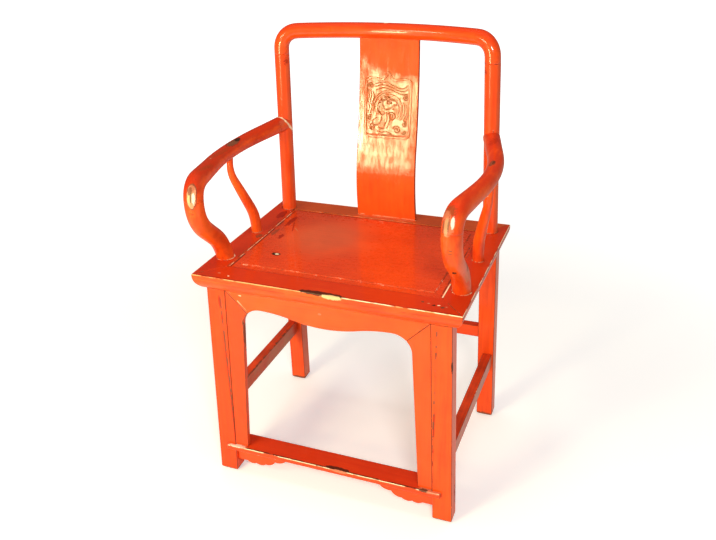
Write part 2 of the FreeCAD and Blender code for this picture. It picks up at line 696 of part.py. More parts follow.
def foot_apron_blank():
    """Models the footrest apron with three lobes and a sweep at either end."""
    body = new_body("foot_apron_blank")
    top = "(footrest_height - footrest_thickness)"
    low = f"({top} - {SCALLOP_CUSP_SHARES[0][1]} * foot_apron_depth)"
    start = leg_inner(top)
    right = [(start, top), (leg_inner(low), low)]
    right += [(f"({start} - {along} * foot_apron_reach)", f"({top} - {depth} * foot_apron_depth)")
              for along, depth in SCALLOP_CUSP_SHARES]
    left = [(f"-({x})", z) for x, z in reversed(right)]
    points = right + left
    lobes = range(2, len(right) - 1)
    arcs = {}
    for side in [*lobes, *(len(points) - 2 - lobe for lobe in lobes)]:
        radius = bulge_radius(points[side], points[side + 1], SCALLOP_BULGE_SHARE)
        arcs[side] = (radius, -1)
    outline(sketch := new_sketch(body, "FootApronOutline", XZ), points, arcs)
    pad(body, "FootApronPad", sketch, "seat_depth")
    return body


FOOTREST_LOW = "(footrest_height - footrest_thickness)"
FOOTREST_MIDDLE = "(footrest_height - footrest_thickness / 2)"
FOOTREST_FRONT = f"({leg_face(FOOTREST_MIDDLE)} - footrest_overhang)"
FOOTREST_BACK = f"({FOOTREST_FRONT} + footrest_width)"


def footrest_blank():
    """Models the footrest plank with its two ears over the leg faces."""
    body = new_body("footrest_blank")
    ear = f"({leg_inner(FOOTREST_MIDDLE)} + footrest_ear)"
    seat_of_ear = f"{leg_face(FOOTREST_MIDDLE)} + footrest_overhang / 2"
    right = [(ear, FOOTREST_FRONT), (ear, seat_of_ear), (leg_inner(FOOTREST_MIDDLE), seat_of_ear),
             (leg_inner(FOOTREST_MIDDLE), FOOTREST_BACK)]
    left = [(f"-({x})", y) for x, y in reversed(right)]
    outline(sketch := new_sketch(body, "FootrestOutline", XY, FOOTREST_LOW), right + left)
    pad(body, "FootrestPad", sketch, "footrest_thickness", both_ways=False)
    return body


# Stretchers

SIDE_MIDDLE = "(side_stretcher_height - side_stretcher_depth / 2)"
SIDE_X = (f"({front_x(SIDE_MIDDLE)} + front_leg_width / 2 - side_stretcher_reveal"
          " - side_stretcher_width / 2)")
REAR_MIDDLE = "(rear_stretcher_height - rear_stretcher_depth / 2)"


def side_stretcher_spans(width, shoulder):
    """Returns the spans of the side stretcher, or of its narrower core that ends in tenons."""
    return (centred(SIDE_X, width), (front_y(SIDE_MIDDLE), rear_y(SIDE_MIDDLE)),
            (f"side_stretcher_height - side_stretcher_depth + {shoulder}", f"side_stretcher_height - {shoulder}"))


def rear_stretcher_spans(width, shoulder):
    """Returns the spans of the rear stretcher, or of its narrower core that ends in tenons."""
    half = rear_x(REAR_MIDDLE)
    return ((f"-{half}", half), centred(rear_y(REAR_MIDDLE), width),
            (f"rear_stretcher_height - rear_stretcher_depth + {shoulder}", f"rear_stretcher_height - {shoulder}"))


def footrest_tenon_spans():
    """Returns the spans of the footrest's core, which ends in a tenon in each leg."""
    half = front_x(FOOTREST_MIDDLE)
    return ((f"-{half}", half), centred(front_y(FOOTREST_MIDDLE), "footrest_tenon_width"),
            centred(FOOTREST_MIDDLE, "footrest_tenon_height"))


# Crest rail, splat, arms and spindles

def crest_bow():
    """Returns the places on the right where the crest rail's bow starts and ends, and the bow's centre."""
    sweep = math.radians(number("crest_sweep_angle"))
    bend = number("crest_bend_radius")
    start = place(CREST_X, CREST_Y, "crest_height") + Vector(-math.cos(sweep), math.sin(sweep), 0) * bend
    centre = Vector(0, start.y - start.x / math.tan(sweep), start.z)
    half = number("splat_head_width / 2")
    return start, centre + Vector(half, math.sqrt((start - centre).Length ** 2 - half ** 2), 0), centre


def crest_middle():
    """Returns the crest rail's middle, in the straight stretch that takes the splat."""
    end = crest_bow()[1]
    return Vector(0, end.y, end.z)


def crest_edges():
    """Returns the edges of the crest rail's right half, from the pipe joint to the rail's middle."""
    start, end, centre = crest_bow()
    steps = 4
    spots = [centre + (start + (end - start) * k / steps - centre).normalize() * (start - centre).Length
             for k in range(steps + 1)]
    corner = place(CREST_X, CREST_Y, "crest_height")
    joint = place(post_x(CREST_JOINT), post_y(CREST_JOINT), CREST_JOINT)
    bend = route([joint, corner, start + (start - corner)], [number("crest_bend_radius")])[:2]
    return [*bend, Part.Arc(*spots[:3]).toShape(), Part.Arc(*spots[2:]).toShape(),
            Part.LineSegment(end, crest_middle()).toShape()]


def on_arc(centre, radius, angle, side):
    """Returns a place on a side-view arc; side is -1 where the arc lies in front of its centre."""
    return centre + Vector(0, side * math.cos(angle), -side * math.sin(angle)) * radius


def splat_curve(offset):
    """Returns three places on each of the splat's two tangent arcs, moved to the back by an offset."""
    reach, rise = number("splat_belly_reach"), number("splat_belly_height")
    low_radius = (reach ** 2 + rise ** 2) / (2 * reach)
    low_centre = place("0", "seat_depth / 2 - splat_inset_back", "seat_height + splat_belly_height")
    low_centre.y += low_radius - reach
    start = -math.asin((rise + number("splat_tenon_depth")) / low_radius)
    turn = math.asin((number("splat_turn_height") - rise) / low_radius)
    turn_point = on_arc(low_centre, low_radius, turn, -1)
    run = crest_middle() - turn_point
    end = 2 * math.atan2(run.y, run.z) - turn
    high_radius = run.Length / (2 * math.sin((turn - end) / 2))
    high_centre = on_arc(turn_point, high_radius, turn, -1)
    low = [on_arc(low_centre, low_radius - offset, angle, -1) for angle in (start, (start + turn) / 2, turn)]
    high = [on_arc(high_centre, high_radius + offset, angle, 1) for angle in (turn, (turn + end) / 2, end)]
    return low, high


def splat_blank():
    """Models the S-shaped splat, cut level at the seat and narrowed towards the crest rail."""
    half = number("splat_thickness / 2")
    front, back = splat_curve(-half), splat_curve(half)
    edges = [Part.Arc(*front[0]), Part.Arc(*front[1]), Part.LineSegment(front[1][-1], back[1][-1]),
             Part.Arc(*reversed(back[1])), Part.Arc(*reversed(back[0])), Part.LineSegment(back[0][0], front[0][0])]
    face = Part.Face(Part.Wire([edge.toShape() for edge in edges]))
    foot, head = number("splat_foot_width / 2"), number("splat_head_width / 2")
    low, high = number("seat_height"), number("crest_height")
    slab = face.extrude(Vector(2 * foot, 0, 0)).translated(Vector(-foot, 0, 0))
    corners = [Vector(-foot, 0, low), Vector(foot, 0, low), Vector(head, 0, high), Vector(-head, 0, high)]
    front_view = Part.Face(Part.makePolygon([*corners, corners[0]])).extrude(Vector(0, number("seat_depth"), 0))
    return slab.common(front_view)


def splat_head_block(clearance):
    """Returns the splat's head tenon, or its mortise with room round it."""
    half_width = number("splat_head_width / 2 - splat_tenon_shoulder") + clearance
    half_thickness = number("splat_tenon_thickness / 2") + clearance
    below = number("2 * post_radius")
    above = number("post_radius - splat_head_tenon") - clearance
    corner = crest_middle() - Vector(half_width, half_thickness, below)
    return Part.makeBox(2 * half_width, 2 * half_thickness, below - above, corner)


def arm_points():
    """Returns the corners of the arm's route, from the gooseneck's foot to the rear post's axis."""
    neck_x = "(seat_width / 2 - neck_inset_side)"
    front = "(-(seat_depth / 2))"
    knuckle = "(seat_height + arm_height)"
    end = f"({knuckle} + arm_end_rise)"
    return [
        place(neck_x, f"{front} + neck_setback", "seat_height"),
        place(neck_x, f"{front} + neck_low_setback", "seat_height + neck_low_height"),
        place(neck_x, f"{front} + arm_front_setback", "seat_height + neck_high_height"),
        place(neck_x, f"{front} + arm_front_setback", knuckle),
        place("seat_width / 2 + arm_bow", f"{front} + arm_bow_setback", f"{knuckle} + arm_bow_rise"),
        place("seat_width / 2 - arm_turn_inset", f"{front} + arm_turn_setback", f"{knuckle} + arm_turn_rise"),
        place(post_x(end), post_y(end), end),
    ]


def arm_edges():
    """Returns the gooseneck's edges and the arm's edges, split at the pipe joint."""
    edges = route(arm_points(), [number(bend) for bend in ("neck_low_bend", "neck_high_bend", "knuckle_radius",
                                                           "arm_bow_bend", "arm_turn_bend")])
    joint_height = number("seat_height + arm_joint_height")
    for index, edge in enumerate(edges):
        low, high = edge.valueAt(edge.FirstParameter), edge.valueAt(edge.LastParameter)
        if isinstance(edge.Curve, Part.Line) and low.z < joint_height < high.z:
            joint = low + (high - low) * ((joint_height - low.z) / (high.z - low.z))
            before = [*edges[:index], Part.LineSegment(low, joint).toShape()]
            after = [Part.LineSegment(joint, high).toShape(), *edges[index + 1:]]
            return before, after, joint
    raise ValueError("the pipe joint has to lie on the gooseneck's straight run")


def point_at_y(edges, y):
    """Returns the point where a route first reaches a place along Y, past the knuckle."""
    steps = 40
    points = [edge.valueAt(edge.FirstParameter + (edge.LastParameter - edge.FirstParameter) * k / steps)
              for edge in edges for k in range(steps + 1)]
    for before, after in zip(points, points[1:]):
        if before.y < y <= after.y:
            return before + (after - before) * ((y - before.y) / (after.y - before.y))
    raise ValueError("the arm doesn't reach the spindle")


def spindle_points(arm):
    """Returns the corners of the spindle's route, up to the arm's axis."""
    front = "(-(seat_depth / 2))"
    head = point_at_y(arm, number(f"{front} + spindle_head_setback"))
    return [
        place("seat_width / 2 - spindle_inset_side", f"{front} + spindle_setback", "seat_height"),
        place("seat_width / 2 - spindle_inset_side", f"{front} + spindle_low_setback",
              "seat_height + spindle_low_height"),
        place("seat_width / 2 - spindle_high_inset", f"{front} + spindle_high_setback",
              "seat_height + spindle_high_height"),
        head,
    ]


# Assembly

front_leg = front_leg_blank()
rear_leg = rear_leg_blank()
passages = both_sides(post_rod("passage", f"({UNDERSIDE} - cut_overrun)", "(seat_height + cut_overrun)",
                               "post_radius + joint_clearance"))
doc.recompute()

# Seat frame: long rails carry the corner tenons, end rails carry the mortises

long_blank = mitred_rail("front_rail_blank", YZ, "-(seat_depth / 2)", 1, "long_rail_width", "seat_width",
                         ((1, -1), (-1, -1)), True)
back_blank = mitred_rail("back_rail_blank", YZ, "seat_depth / 2", -1, "long_rail_width", "seat_width",
                         ((1, 1), (-1, 1)), True)
end_blank = mitred_rail("end_rail_blank", XZ, "seat_width / 2", -1, "end_rail_width", "seat_depth",
                        ((1, -1), (1, 1)), False)
front_tenons = both_sides(block("front_rail_tenon", *rail_tenon(-1)))
back_tenons = both_sides(block("back_rail_tenon", *rail_tenon(1)))
batten_mortises = both_sides(block("batten_mortise", *widened(*batten_tenon())))

leg_tenon_spans = (centred(FRONT_TOP_X, "leg_tenon_side"), centred(FRONT_TOP_Y, "leg_tenon_side"),
                   (UNDERSIDE, f"{UNDERSIDE} + leg_tenon_height"))
leg_tenon = block("leg_tenon", *leg_tenon_spans)
leg_mortises = both_sides(block("leg_mortise", *widened(*leg_tenon_spans)))

splat_y = "(seat_depth / 2 - splat_inset_back)"
splat_foot_spans = (centred("0", "splat_foot_width - 2 * splat_tenon_shoulder"),
                    centred(splat_y, "splat_tenon_thickness"),
                    ("seat_height - splat_tenon_depth", "seat_height + splat_tenon_depth"))
splat_foot_tenon = block("splat_foot_tenon", *splat_foot_spans[:2],
                         ("seat_height - splat_tenon_depth", "seat_height"))
splat_mortise = block("splat_mortise", *widened(*splat_foot_spans))

keep("seat_front_rail", without("front_rail", joined("front_rail_whole", [long_blank, *front_tenons]),
                                [*leg_mortises, *batten_mortises]))
keep("seat_back_rail", without("back_rail", joined("back_rail_whole", [back_blank, *back_tenons]),
                               [*passages, splat_mortise, *batten_mortises]))

neck_edges, arm_run, arm_joint = arm_edges()
spindle_edges = route(spindle_points(arm_run), [number("spindle_low_bend"), number("spindle_high_bend")])
neck_x = "seat_width / 2 - neck_inset_side"
neck_y = "-(seat_depth / 2) + neck_setback"
spindle_x = "seat_width / 2 - spindle_inset_side"
spindle_y = "-(seat_depth / 2) + spindle_setback"
neck_tenon = rod("neck_tenon", neck_x, neck_y, "seat_height - neck_tenon_depth", "seat_height",
                 "neck_tenon_radius")
neck_hole = rod("neck_hole", neck_x, neck_y, "seat_height - neck_tenon_depth - joint_clearance",
                "seat_height + cut_overrun", "neck_tenon_radius + joint_clearance")
spindle_tenon = rod("spindle_tenon", spindle_x, spindle_y, "seat_height - spindle_tenon_depth", "seat_height",
                    "spindle_tenon_radius")
spindle_hole = rod("spindle_hole", spindle_x, spindle_y, "seat_height - spindle_tenon_depth - joint_clearance",
                   "seat_height + cut_overrun", "spindle_tenon_radius + joint_clearance")
end_mortises = [block(f"{name}_rail_mortise", *widened(*rail_tenon(side)))
                for name, side in (("front", -1), ("back", 1))]
keep_pair("seat_end_rail", without("end_rail", end_blank, [*end_mortises, leg_mortises[0], passages[0],
                                                           neck_hole, spindle_hole]))

# Panel and battens

grooves = both_sides(batten_blank("batten_groove", "joint_clearance", "seat_depth"))
keep("seat_panel", without("panel", panel_blank(), [*grooves, *passages]))
batten_whole = joined("batten", [batten_blank("batten_blank", "0", f"2 * {OPENING_Y}"),
                                 block("batten_tenons", *batten_tenon())])
keep_pair("seat_batten", batten_whole)

# Legs and stretchers

side_core = side_stretcher_spans("stretcher_tenon_thickness", "stretcher_tenon_shoulder")
rear_core = rear_stretcher_spans("stretcher_tenon_thickness", "stretcher_tenon_shoulder")
side_mortise = block("side_mortise", *widened(*side_core))
rear_mortise = block("rear_mortise", *widened(*rear_core))
footrest_mortise = block("footrest_mortise", *widened(*footrest_tenon_spans()))

side_bar = without("side_bar", block("side_bar_blank", *side_stretcher_spans("side_stretcher_width", "0")),
                   [front_leg, rear_leg])
keep_pair("side_stretcher", joined("side_stretcher", [side_bar, block("side_core", *side_core)]))
rear_bar = without("rear_bar", block("rear_bar_blank", *rear_stretcher_spans("rear_stretcher_width", "0")),
                   both_sides(rear_leg))
keep("rear_stretcher", joined("rear_bar_whole", [rear_bar, block("rear_core", *rear_core)]))
keep_pair("front_leg", without("front_leg", joined("front_leg_whole", [front_leg, leg_tenon]),
                               [side_mortise, footrest_mortise]))

# Arms, goosenecks and spindles

clearance = number("joint_clearance")
neck_radii = [number(name) for name in ("neck_foot_radius", "neck_foot_radius", *4 * ["neck_radius"])]
arm_radii = [number(name) for name in ("neck_radius", "arm_shoulder_radius", "arm_middle_radius", "arm_end_radius")
             for _ in range(2)]
spindle_radii = [number(name) for name in ("spindle_foot_radius", "spindle_middle_radius", "spindle_head_radius")
                 for _ in range(2)]
tenon_radius, tenon_length = number("arm_tenon_radius"), number("arm_tenon_length")
neck_bar = shape_feature("neck_bar", tube(neck_edges, neck_radii))
neck_head = shape_feature("neck_head_tenon", Part.makeCylinder(tenon_radius, tenon_length, arm_joint))
neck_socket = shape_feature("arm_socket", Part.makeCylinder(tenon_radius + clearance, tenon_length + clearance,
                                                            arm_joint))
keep_pair("gooseneck", joined("gooseneck", [neck_bar, neck_tenon, neck_head]))

arm_bar = shape_feature("arm_bar", tube(arm_run, arm_radii))
envelope = post_rod("post_envelope", "seat_height", CREST_JOINT, "post_radius + joint_clearance")
along_arm = tangent(arm_run[-1], arm_run[-1].LastParameter)
tenon_start = end_of(arm_run[-1]) - along_arm * number("2 * post_radius")
arm_tenon, arm_mortise = (
    shape_feature(name, Part.makeCylinder(tenon_radius + room, number("2 * post_radius") + room, tenon_start,
                                          along_arm))
    for name, room in (("arm_tenon", 0), ("arm_mortise", clearance)))
arm_whole = joined("arm_whole", [without("arm_scribed", arm_bar, [envelope]), arm_tenon])

spindle_bar, spindle_socket = (
    shape_feature(name, tube(spindle_edges, [radius + room for radius in spindle_radii]))
    for name, room in (("spindle_bar", 0), ("spindle_socket", clearance)))
keep_pair("arm_rail", without("arm_rail", arm_whole, [neck_socket, spindle_socket]))
keep_pair("arm_spindle", joined("arm_spindle", [spindle_bar, spindle_tenon]))

post_tenon_top = f"({CREST_JOINT} + post_tenon_length)"
post_tenon = post_rod("post_tenon", CREST_JOINT, post_tenon_top, "post_tenon_radius")
rear_whole = joined("rear_leg_whole", [rear_leg, post_tenon])
keep_pair("rear_leg", without("rear_leg", rear_whole, [side_mortise, rear_mortise, arm_mortise]))

# Crest rail and splat

post_radius = number("post_radius")
crest_half = shape_feature("crest_half", tube(crest_edges(), [post_radius] * 6))
crest_bar = joined("crest_bar", both_sides(crest_half))
room_length = number("splat_head_width + 2 * cut_overrun")
crest_room = shape_feature("crest_room", Part.makeCylinder(post_radius + clearance, room_length, crest_middle()
                                                           - Vector(room_length / 2, 0, 0), Vector(1, 0, 0)))
post_hole = post_rod("post_hole", CREST_JOINT, f"({post_tenon_top} + joint_clearance)",
                     "post_tenon_radius + joint_clearance")
head_mortise = shape_feature("splat_head_mortise", splat_head_block(clearance))
head_tenon = shape_feature("splat_head_tenon", splat_head_block(0))
splat_bar = shape_feature("splat_bar", splat_blank())
keep("crest_rail", without("crest", crest_bar, [*both_sides(post_hole), head_mortise]))
keep("back_splat", joined("splat", [without("splat_scribed", splat_bar, [crest_room]), splat_foot_tenon,
                                    head_tenon]))

# Front arch and footrest

arch_slab = apron_slab("arch_slab", "apron_reveal")
foot_slab = apron_slab("foot_apron_slab", "foot_apron_recess")
keep("front_apron_head", shared("arch_head", arch_head_blank(), arch_slab))
keep_pair("front_apron_side", shared("arch_side", arch_side_blank(), arch_slab))
keep("footrest_apron", shared("foot_apron", foot_apron_blank(), foot_slab))
footrest_bar = without("footrest_scribed", footrest_blank(), both_sides(front_leg))
keep("footrest", joined("footrest_whole", [footrest_bar, block("footrest_core", *footrest_tenon_spans())]))

# Check every object, then write each piece

doc.recompute()
for feature in doc.Objects:
    assert not {"Invalid", "Error"} & set(feature.State), f"{feature.Name}: {feature.State}"
for feature in PIECES:
    shape = feature.Shape
    assert not shape.isNull() and shape.isValid(), f"{feature.Label}: the shape is not valid"
    assert len(shape.Solids) == 1, f"{feature.Label}: {len(shape.Solids)} solids"
for feature in PIECES:
    feature.Shape.exportStep(f"parts/{feature.Label}.step")
    box = feature.Shape.BoundBox
    print(f"{feature.Label}: {box.XLength:.1f} x {box.YLength:.1f} x {box.ZLength:.1f} mm")
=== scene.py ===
import logging
import math
from dataclasses import dataclass, field
from enum import Enum
from typing import ClassVar

import bmesh
import bpy
import numpy as np
from mathutils import Matrix, Vector


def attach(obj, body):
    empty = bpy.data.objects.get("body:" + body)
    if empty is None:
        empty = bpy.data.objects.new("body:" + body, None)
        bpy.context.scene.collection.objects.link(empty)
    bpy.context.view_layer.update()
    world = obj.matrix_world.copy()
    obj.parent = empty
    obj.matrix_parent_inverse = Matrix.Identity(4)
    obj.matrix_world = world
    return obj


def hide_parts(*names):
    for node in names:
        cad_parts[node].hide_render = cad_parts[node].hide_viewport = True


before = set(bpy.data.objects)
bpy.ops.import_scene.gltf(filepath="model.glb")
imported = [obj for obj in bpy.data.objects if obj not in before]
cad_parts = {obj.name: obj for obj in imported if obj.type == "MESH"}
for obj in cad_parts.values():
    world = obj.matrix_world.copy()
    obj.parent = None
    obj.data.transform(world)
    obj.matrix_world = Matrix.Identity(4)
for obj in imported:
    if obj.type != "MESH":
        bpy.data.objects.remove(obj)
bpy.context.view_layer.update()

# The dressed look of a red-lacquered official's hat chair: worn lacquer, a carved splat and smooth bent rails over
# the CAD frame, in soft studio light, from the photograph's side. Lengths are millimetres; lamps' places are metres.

MM = 0.001
BODY = "root"
WELD = 0.02 * MM
FLAT_DEGREES = 0.6
SHARP_DEGREES = 29.0
ARC_STEP_DEGREES = 3.0
END_RUN_SHARE = 0.98  # of a route's first and last run, the most that its bend may take
INNER_RUN_SHARE = 0.49  # of a run between two bends, the most that each may take

Triple = tuple[float, float, float]
ORIGIN: Triple = (0.0, 0.0, 0.0)
EVEN: Triple = (1.0, 1.0, 1.0)
WHITE = (1.0, 1.0, 1.0, 1.0)
Socket = bpy.types.NodeSocket

log = logging.getLogger("chair")


class Side(Enum):
    """The two mirrored halves of the chair."""

    LEFT = -1
    RIGHT = 1

    @property
    def label(self) -> str:
        """Gives the half's word in node names."""
        return self.name.lower()


class Tint(Enum):
    """Colours that show where the top lacquer is thin, worn, lost or dirty, and colours of painted highlights, sheen
    and shade.
    """

    DARK = (0.045, 0.016, 0.009)
    UMBER = (0.16, 0.060, 0.030)
    BROWN = (0.24, 0.050, 0.014)
    OCHRE = (0.30, 0.115, 0.030)
    CLARET = (0.30, 0.014, 0.006)
    ROSE = (0.62, 0.19, 0.10)
    HIGHLIGHT_AMBER = (0.98, 0.44, 0.17)
    WOOD = (0.74, 0.50, 0.24)
    CREAM = (0.93, 0.76, 0.50)
    PALE_WEAR_AND_HIGHLIGHT = (0.95, 0.72, 0.62)
    PEACH = (0.80, 0.31, 0.17)
    TAN = (0.46, 0.27, 0.13)
    DUST = (0.40, 0.17, 0.075)

    @property
    def rgba(self) -> tuple[float, float, float, float]:
        """Gives the colour with full alpha."""
        return (*self.value, 1.0)


# Shader graphs


class Graph:
    """Adds nodes to one node tree and links what is given as a socket."""

    def __init__(self, tree: bpy.types.NodeTree) -> None:
        """Keeps the tree.

        Args:
            tree: The node tree to build in.
        """
        self.tree = tree

    def node(self, kind: str, inputs: dict[str | int, object] | None = None, **settings: object) -> bpy.types.Node:
        """Adds a node.

        Args:
            kind: The node's type name.
            inputs: Values or sockets for its inputs, by name or number.
            **settings: Properties of the node itself.

        Returns:
            The new node.
        """
        made = self.tree.nodes.new(kind)
        for name, value in settings.items():
            setattr(made, name, value)
        for name, value in (inputs or {}).items():
            if isinstance(value, Socket):
                self.tree.links.new(value, made.inputs[name])
            else:
                made.inputs[name].default_value = value
        return made

    def maths(self, operation: str, *values: object) -> Socket:
        """Adds a math node and gives its result."""
        return self.node("ShaderNodeMath", dict(enumerate(values)), operation=operation).outputs[0]

    def times(self, first: object, second: object) -> Socket:
        """Multiplies two numbers or sockets."""
        return self.maths("MULTIPLY", first, second)

    def plus(self, first: object, second: object) -> Socket:
        """Adds two numbers or sockets."""
        return self.maths("ADD", first, second)

    def minus(self, first: object, second: object) -> Socket:
        """Takes the second number or socket from the first."""
        return self.maths("SUBTRACT", first, second)

    def vector(self, operation: str, *values: object) -> bpy.types.Node:
        """Adds a vector math node."""
        return self.node("ShaderNodeVectorMath", dict(enumerate(values)), operation=operation)

    def step(self, value: Socket, low: float | Socket, high: float | Socket) -> Socket:
        """Adds a smooth step from low to high.

        Args:
            value: What is measured.
            low: Where the result is 0.
            high: Where the result is 1.

        Returns:
            The result's socket.
        """
        inputs = {"Value": value, "From Min": low, "From Max": high}
        return self.node("ShaderNodeMapRange", inputs, interpolation_type="SMOOTHSTEP").outputs[0]

    def noise(self, place: Socket, scale: float | Socket, detail: float = 3.0, roughness: float = 0.55) -> Socket:
        """Adds a noise texture.

        Args:
            place: Where it is read, in millimetres.
            scale: Cells to the millimetre.
            detail: Octaves.
            roughness: How much each octave counts.

        Returns:
            The noise value's socket, about 0.5 on average.
        """
        inputs = {"Vector": place, "Scale": scale, "Detail": detail, "Roughness": roughness}
        return self.node("ShaderNodeTexNoise", inputs).outputs[0]

    def inverse(self, value: Socket) -> Socket:
        """Takes a mask from 1."""
        return self.minus(1.0, value)

    def swing(self, noise: Socket, amount: float | Socket) -> Socket:
        """Turns a noise into a swing about zero."""
        return self.times(self.minus(noise, 0.5), amount)

    def around(self, value: Socket, middle: Socket, margin: float) -> Socket:
        """Adds a smooth step that rises around a middle value."""
        return self.step(value, self.minus(middle, margin), self.plus(middle, margin))

    def unbroken(self, noise: Socket, broken: Socket) -> Socket:
        """Masks the stretches of a broken line that are left."""
        return self.around(noise, self.plus(0.25, self.times(broken, 0.5)), 0.05)

    def blend(self, factor: Socket | float, first: object, second: object) -> Socket:
        """Mixes two colours.

        Args:
            factor: The second colour's share.
            first: A colour or its socket.
            second: A colour or its socket.

        Returns:
            The mixed colour's socket.
        """
        return self.node("ShaderNodeMix", {0: factor, 6: first, 7: second}, data_type="RGBA").outputs[2]

    def lerp(self, factor: Socket, first: object, second: object) -> Socket:
        """Mixes two numbers.

        Args:
            factor: The second number's share.
            first: A number or its socket.
            second: A number or its socket.

        Returns:
            The mixed number's socket.
        """
        return self.node("ShaderNodeMix", {0: factor, 2: first, 3: second}, data_type="FLOAT").outputs[0]


def blank_graph(owner: bpy.types.Material | bpy.types.World) -> Graph:
    """Gives the emptied graph of a material or a world.

    Args:
        owner: What the graph belongs to.

    Returns:
        The graph.
    """
    owner.use_nodes = True
    owner.node_tree.nodes.clear()
    return Graph(owner.node_tree)


class EffectGroup:
    """A node group with named sockets that several finishes share."""

    def __init__(self, name: str, inputs: dict[str, object], outputs: tuple[str, ...]) -> None:
        """Makes the group's sockets.

        Args:
            name: The group's name.
            inputs: Default values by socket name; a number, a colour of four or a vector of three.
            outputs: Socket names; "Color" is a colour and the others are numbers.
        """
        self.tree = bpy.data.node_groups.new(name, "ShaderNodeTree")
        for title, value in inputs.items():
            kind = "Float" if isinstance(value, float) else ("Color" if len(value) == 4 else "Vector")
            socket = self.tree.interface.new_socket(name=title, in_out="INPUT", socket_type=f"NodeSocket{kind}")
            socket.default_value = value
        for title in outputs:
            kind = "Color" if title == "Color" else "Float"
            self.tree.interface.new_socket(name=title, in_out="OUTPUT", socket_type=f"NodeSocket{kind}")
        self.graph = Graph(self.tree)
        self.inside = self.tree.nodes.new("NodeGroupInput").outputs
        self.result = self.tree.nodes.new("NodeGroupOutput").inputs

    def give(self, **sockets: Socket) -> bpy.types.NodeTree:
        """Links the group's outputs.

        Args:
            **sockets: What feeds each output, by its name.

        Returns:
            The finished tree.
        """
        for title, socket in sockets.items():
            self.tree.links.new(socket, self.result[title])
        return self.tree


def lacquer_tone() -> bpy.types.NodeTree:
    """Builds the group for uneven lacquer: clouds, brush streaks along the wood, fine ripple, a painted shade that
    deepens upward faces, and dust with a painted sheen on faces turned to the sides.

    Returns:
        The node group.
    """
    effect = EffectGroup("LacquerTone", {
        "Place": ORIGIN, "Streak Stretch": (0.2, 0.2, 0.01), "Light": (1.0, 0.1, 0.02, 1.0),
        "Deep": (0.5, 0.03, 0.01, 1.0), "Mottle": 0.5, "Streaks": 0.5, "Facing": ORIGIN,
        "Crown": 0.0, "Dusty": 0.0, "Brush": 0.1, "Patchy": 0.2}, ("Color", "Ripple", "Haze", "Gloss"))
    graph, given = effect.graph, effect.inside
    clouds = graph.noise(given["Place"], 0.016)
    stretched = graph.vector("MULTIPLY", given["Place"], given["Streak Stretch"]).outputs[0]
    streaks = graph.noise(stretched, 1.0, 4.0, 0.6)
    fine = graph.noise(given["Place"], 0.55, 2.0)
    share = graph.plus(graph.swing(clouds, given["Mottle"]), graph.swing(streaks, given["Streaks"]))
    share = graph.plus(share, graph.swing(fine, 0.14))
    facing = graph.node("ShaderNodeSeparateXYZ", {0: given["Facing"]}).outputs
    # Painted shade: faces turned upward are drawn towards the deep tone, standing in for how the light falls on tops.
    upward = graph.step(facing[2], 0.15, 0.95)
    share = graph.minus(share, graph.times(upward, given["Crown"]))
    color = graph.blend(graph.step(share, -0.42, 0.30), given["Deep"], given["Light"])
    # Dust and painted sheen: faces turned to the sides are paled towards tan in clouds, partly dust, partly standing
    # in for the sheen the light lays on them.
    sideways = graph.step(graph.maths("ABSOLUTE", facing[0]), 0.55, 0.9)
    side_dust_and_sheen_mask = graph.times(graph.times(sideways, given["Dusty"]), graph.step(clouds, 0.25, 0.65))
    waves = graph.noise(given["Place"], 0.05, 2.0)
    shortened = graph.vector("ADD", given["Streak Stretch"], (0.035, 0.035, 0.035)).outputs[0]
    strokes = graph.noise(graph.vector("MULTIPLY", given["Place"], shortened).outputs[0], 0.6)
    brushed = graph.times(strokes, given["Brush"])
    ripple = graph.plus(graph.plus(waves, brushed), graph.times(fine, 0.05))
    haze = graph.noise(given["Place"], 0.09, 4.0, 0.65)
    dulled = graph.step(graph.lerp(0.25, strokes, haze), 0.38, 0.62)
    gloss = graph.inverse(graph.times(dulled, given["Patchy"]))
    return effect.give(Color=graph.blend(side_dust_and_sheen_mask, color, Tint.DUST.rgba), Ripple=ripple, Haze=haze, Gloss=gloss)


def arris_wear() -> bpy.types.NodeTree:
    """Builds the group for edges rubbed through to the dark ground and, in places, to pale wood.

    Returns:
        The node group.
    """
    effect = EffectGroup("ArrisWear", {"Place": ORIGIN, "Arris": 0.0, "Dark Amount": 0.4, "Pale Amount": 0.2},
                         ("Dark", "Pale"))
    graph, given = effect.graph, effect.inside
    mixed = graph.lerp(0.35, graph.noise(given["Place"], 0.035, 4.0, 0.6), graph.noise(given["Place"], 0.30, 3.0, 0.6))
    edge = graph.step(given["Arris"], 0.15, 0.75)
    masks = []
    for noise, amount in ((mixed, given["Dark Amount"]), (graph.inverse(mixed), given["Pale Amount"])):
        threshold = graph.minus(0.75, graph.times(amount, 0.5))
        masks.append(graph.times(graph.around(noise, threshold, 0.04), edge))
    return effect.give(Dark=masks[0], Pale=masks[1])


def worn_spot() -> bpy.types.NodeTree:
    """Builds the group for one ragged patch inside an ellipsoid.

    Returns:
        The node group.
    """
    effect = EffectGroup("WornSpot", {"Place": ORIGIN, "Centre": ORIGIN, "Reach": (5.0, 5.0, 5.0), "Ragged": 0.4,
                                      "Grain": 0.25, "Soft": 0.14, "Stretch": EVEN}, ("Mask", "Rim"))
    graph, given = effect.graph, effect.inside
    offset = graph.vector("SUBTRACT", given["Place"], given["Centre"]).outputs[0]
    distance = graph.vector("LENGTH", graph.vector("DIVIDE", offset, given["Reach"]).outputs[0]).outputs["Value"]
    stretched = graph.vector("MULTIPLY", given["Place"], given["Stretch"]).outputs[0]
    uneven = graph.swing(graph.noise(stretched, given["Grain"], 4.0, 0.65), given["Ragged"])
    distance = graph.plus(distance, graph.times(uneven, 2.4))
    mask = graph.inverse(graph.step(distance, graph.inverse(given["Soft"]), 1.0))
    rim = graph.minus(graph.inverse(graph.step(distance, 1.0, 1.16)), mask)
    return effect.give(Mask=mask, Rim=rim)


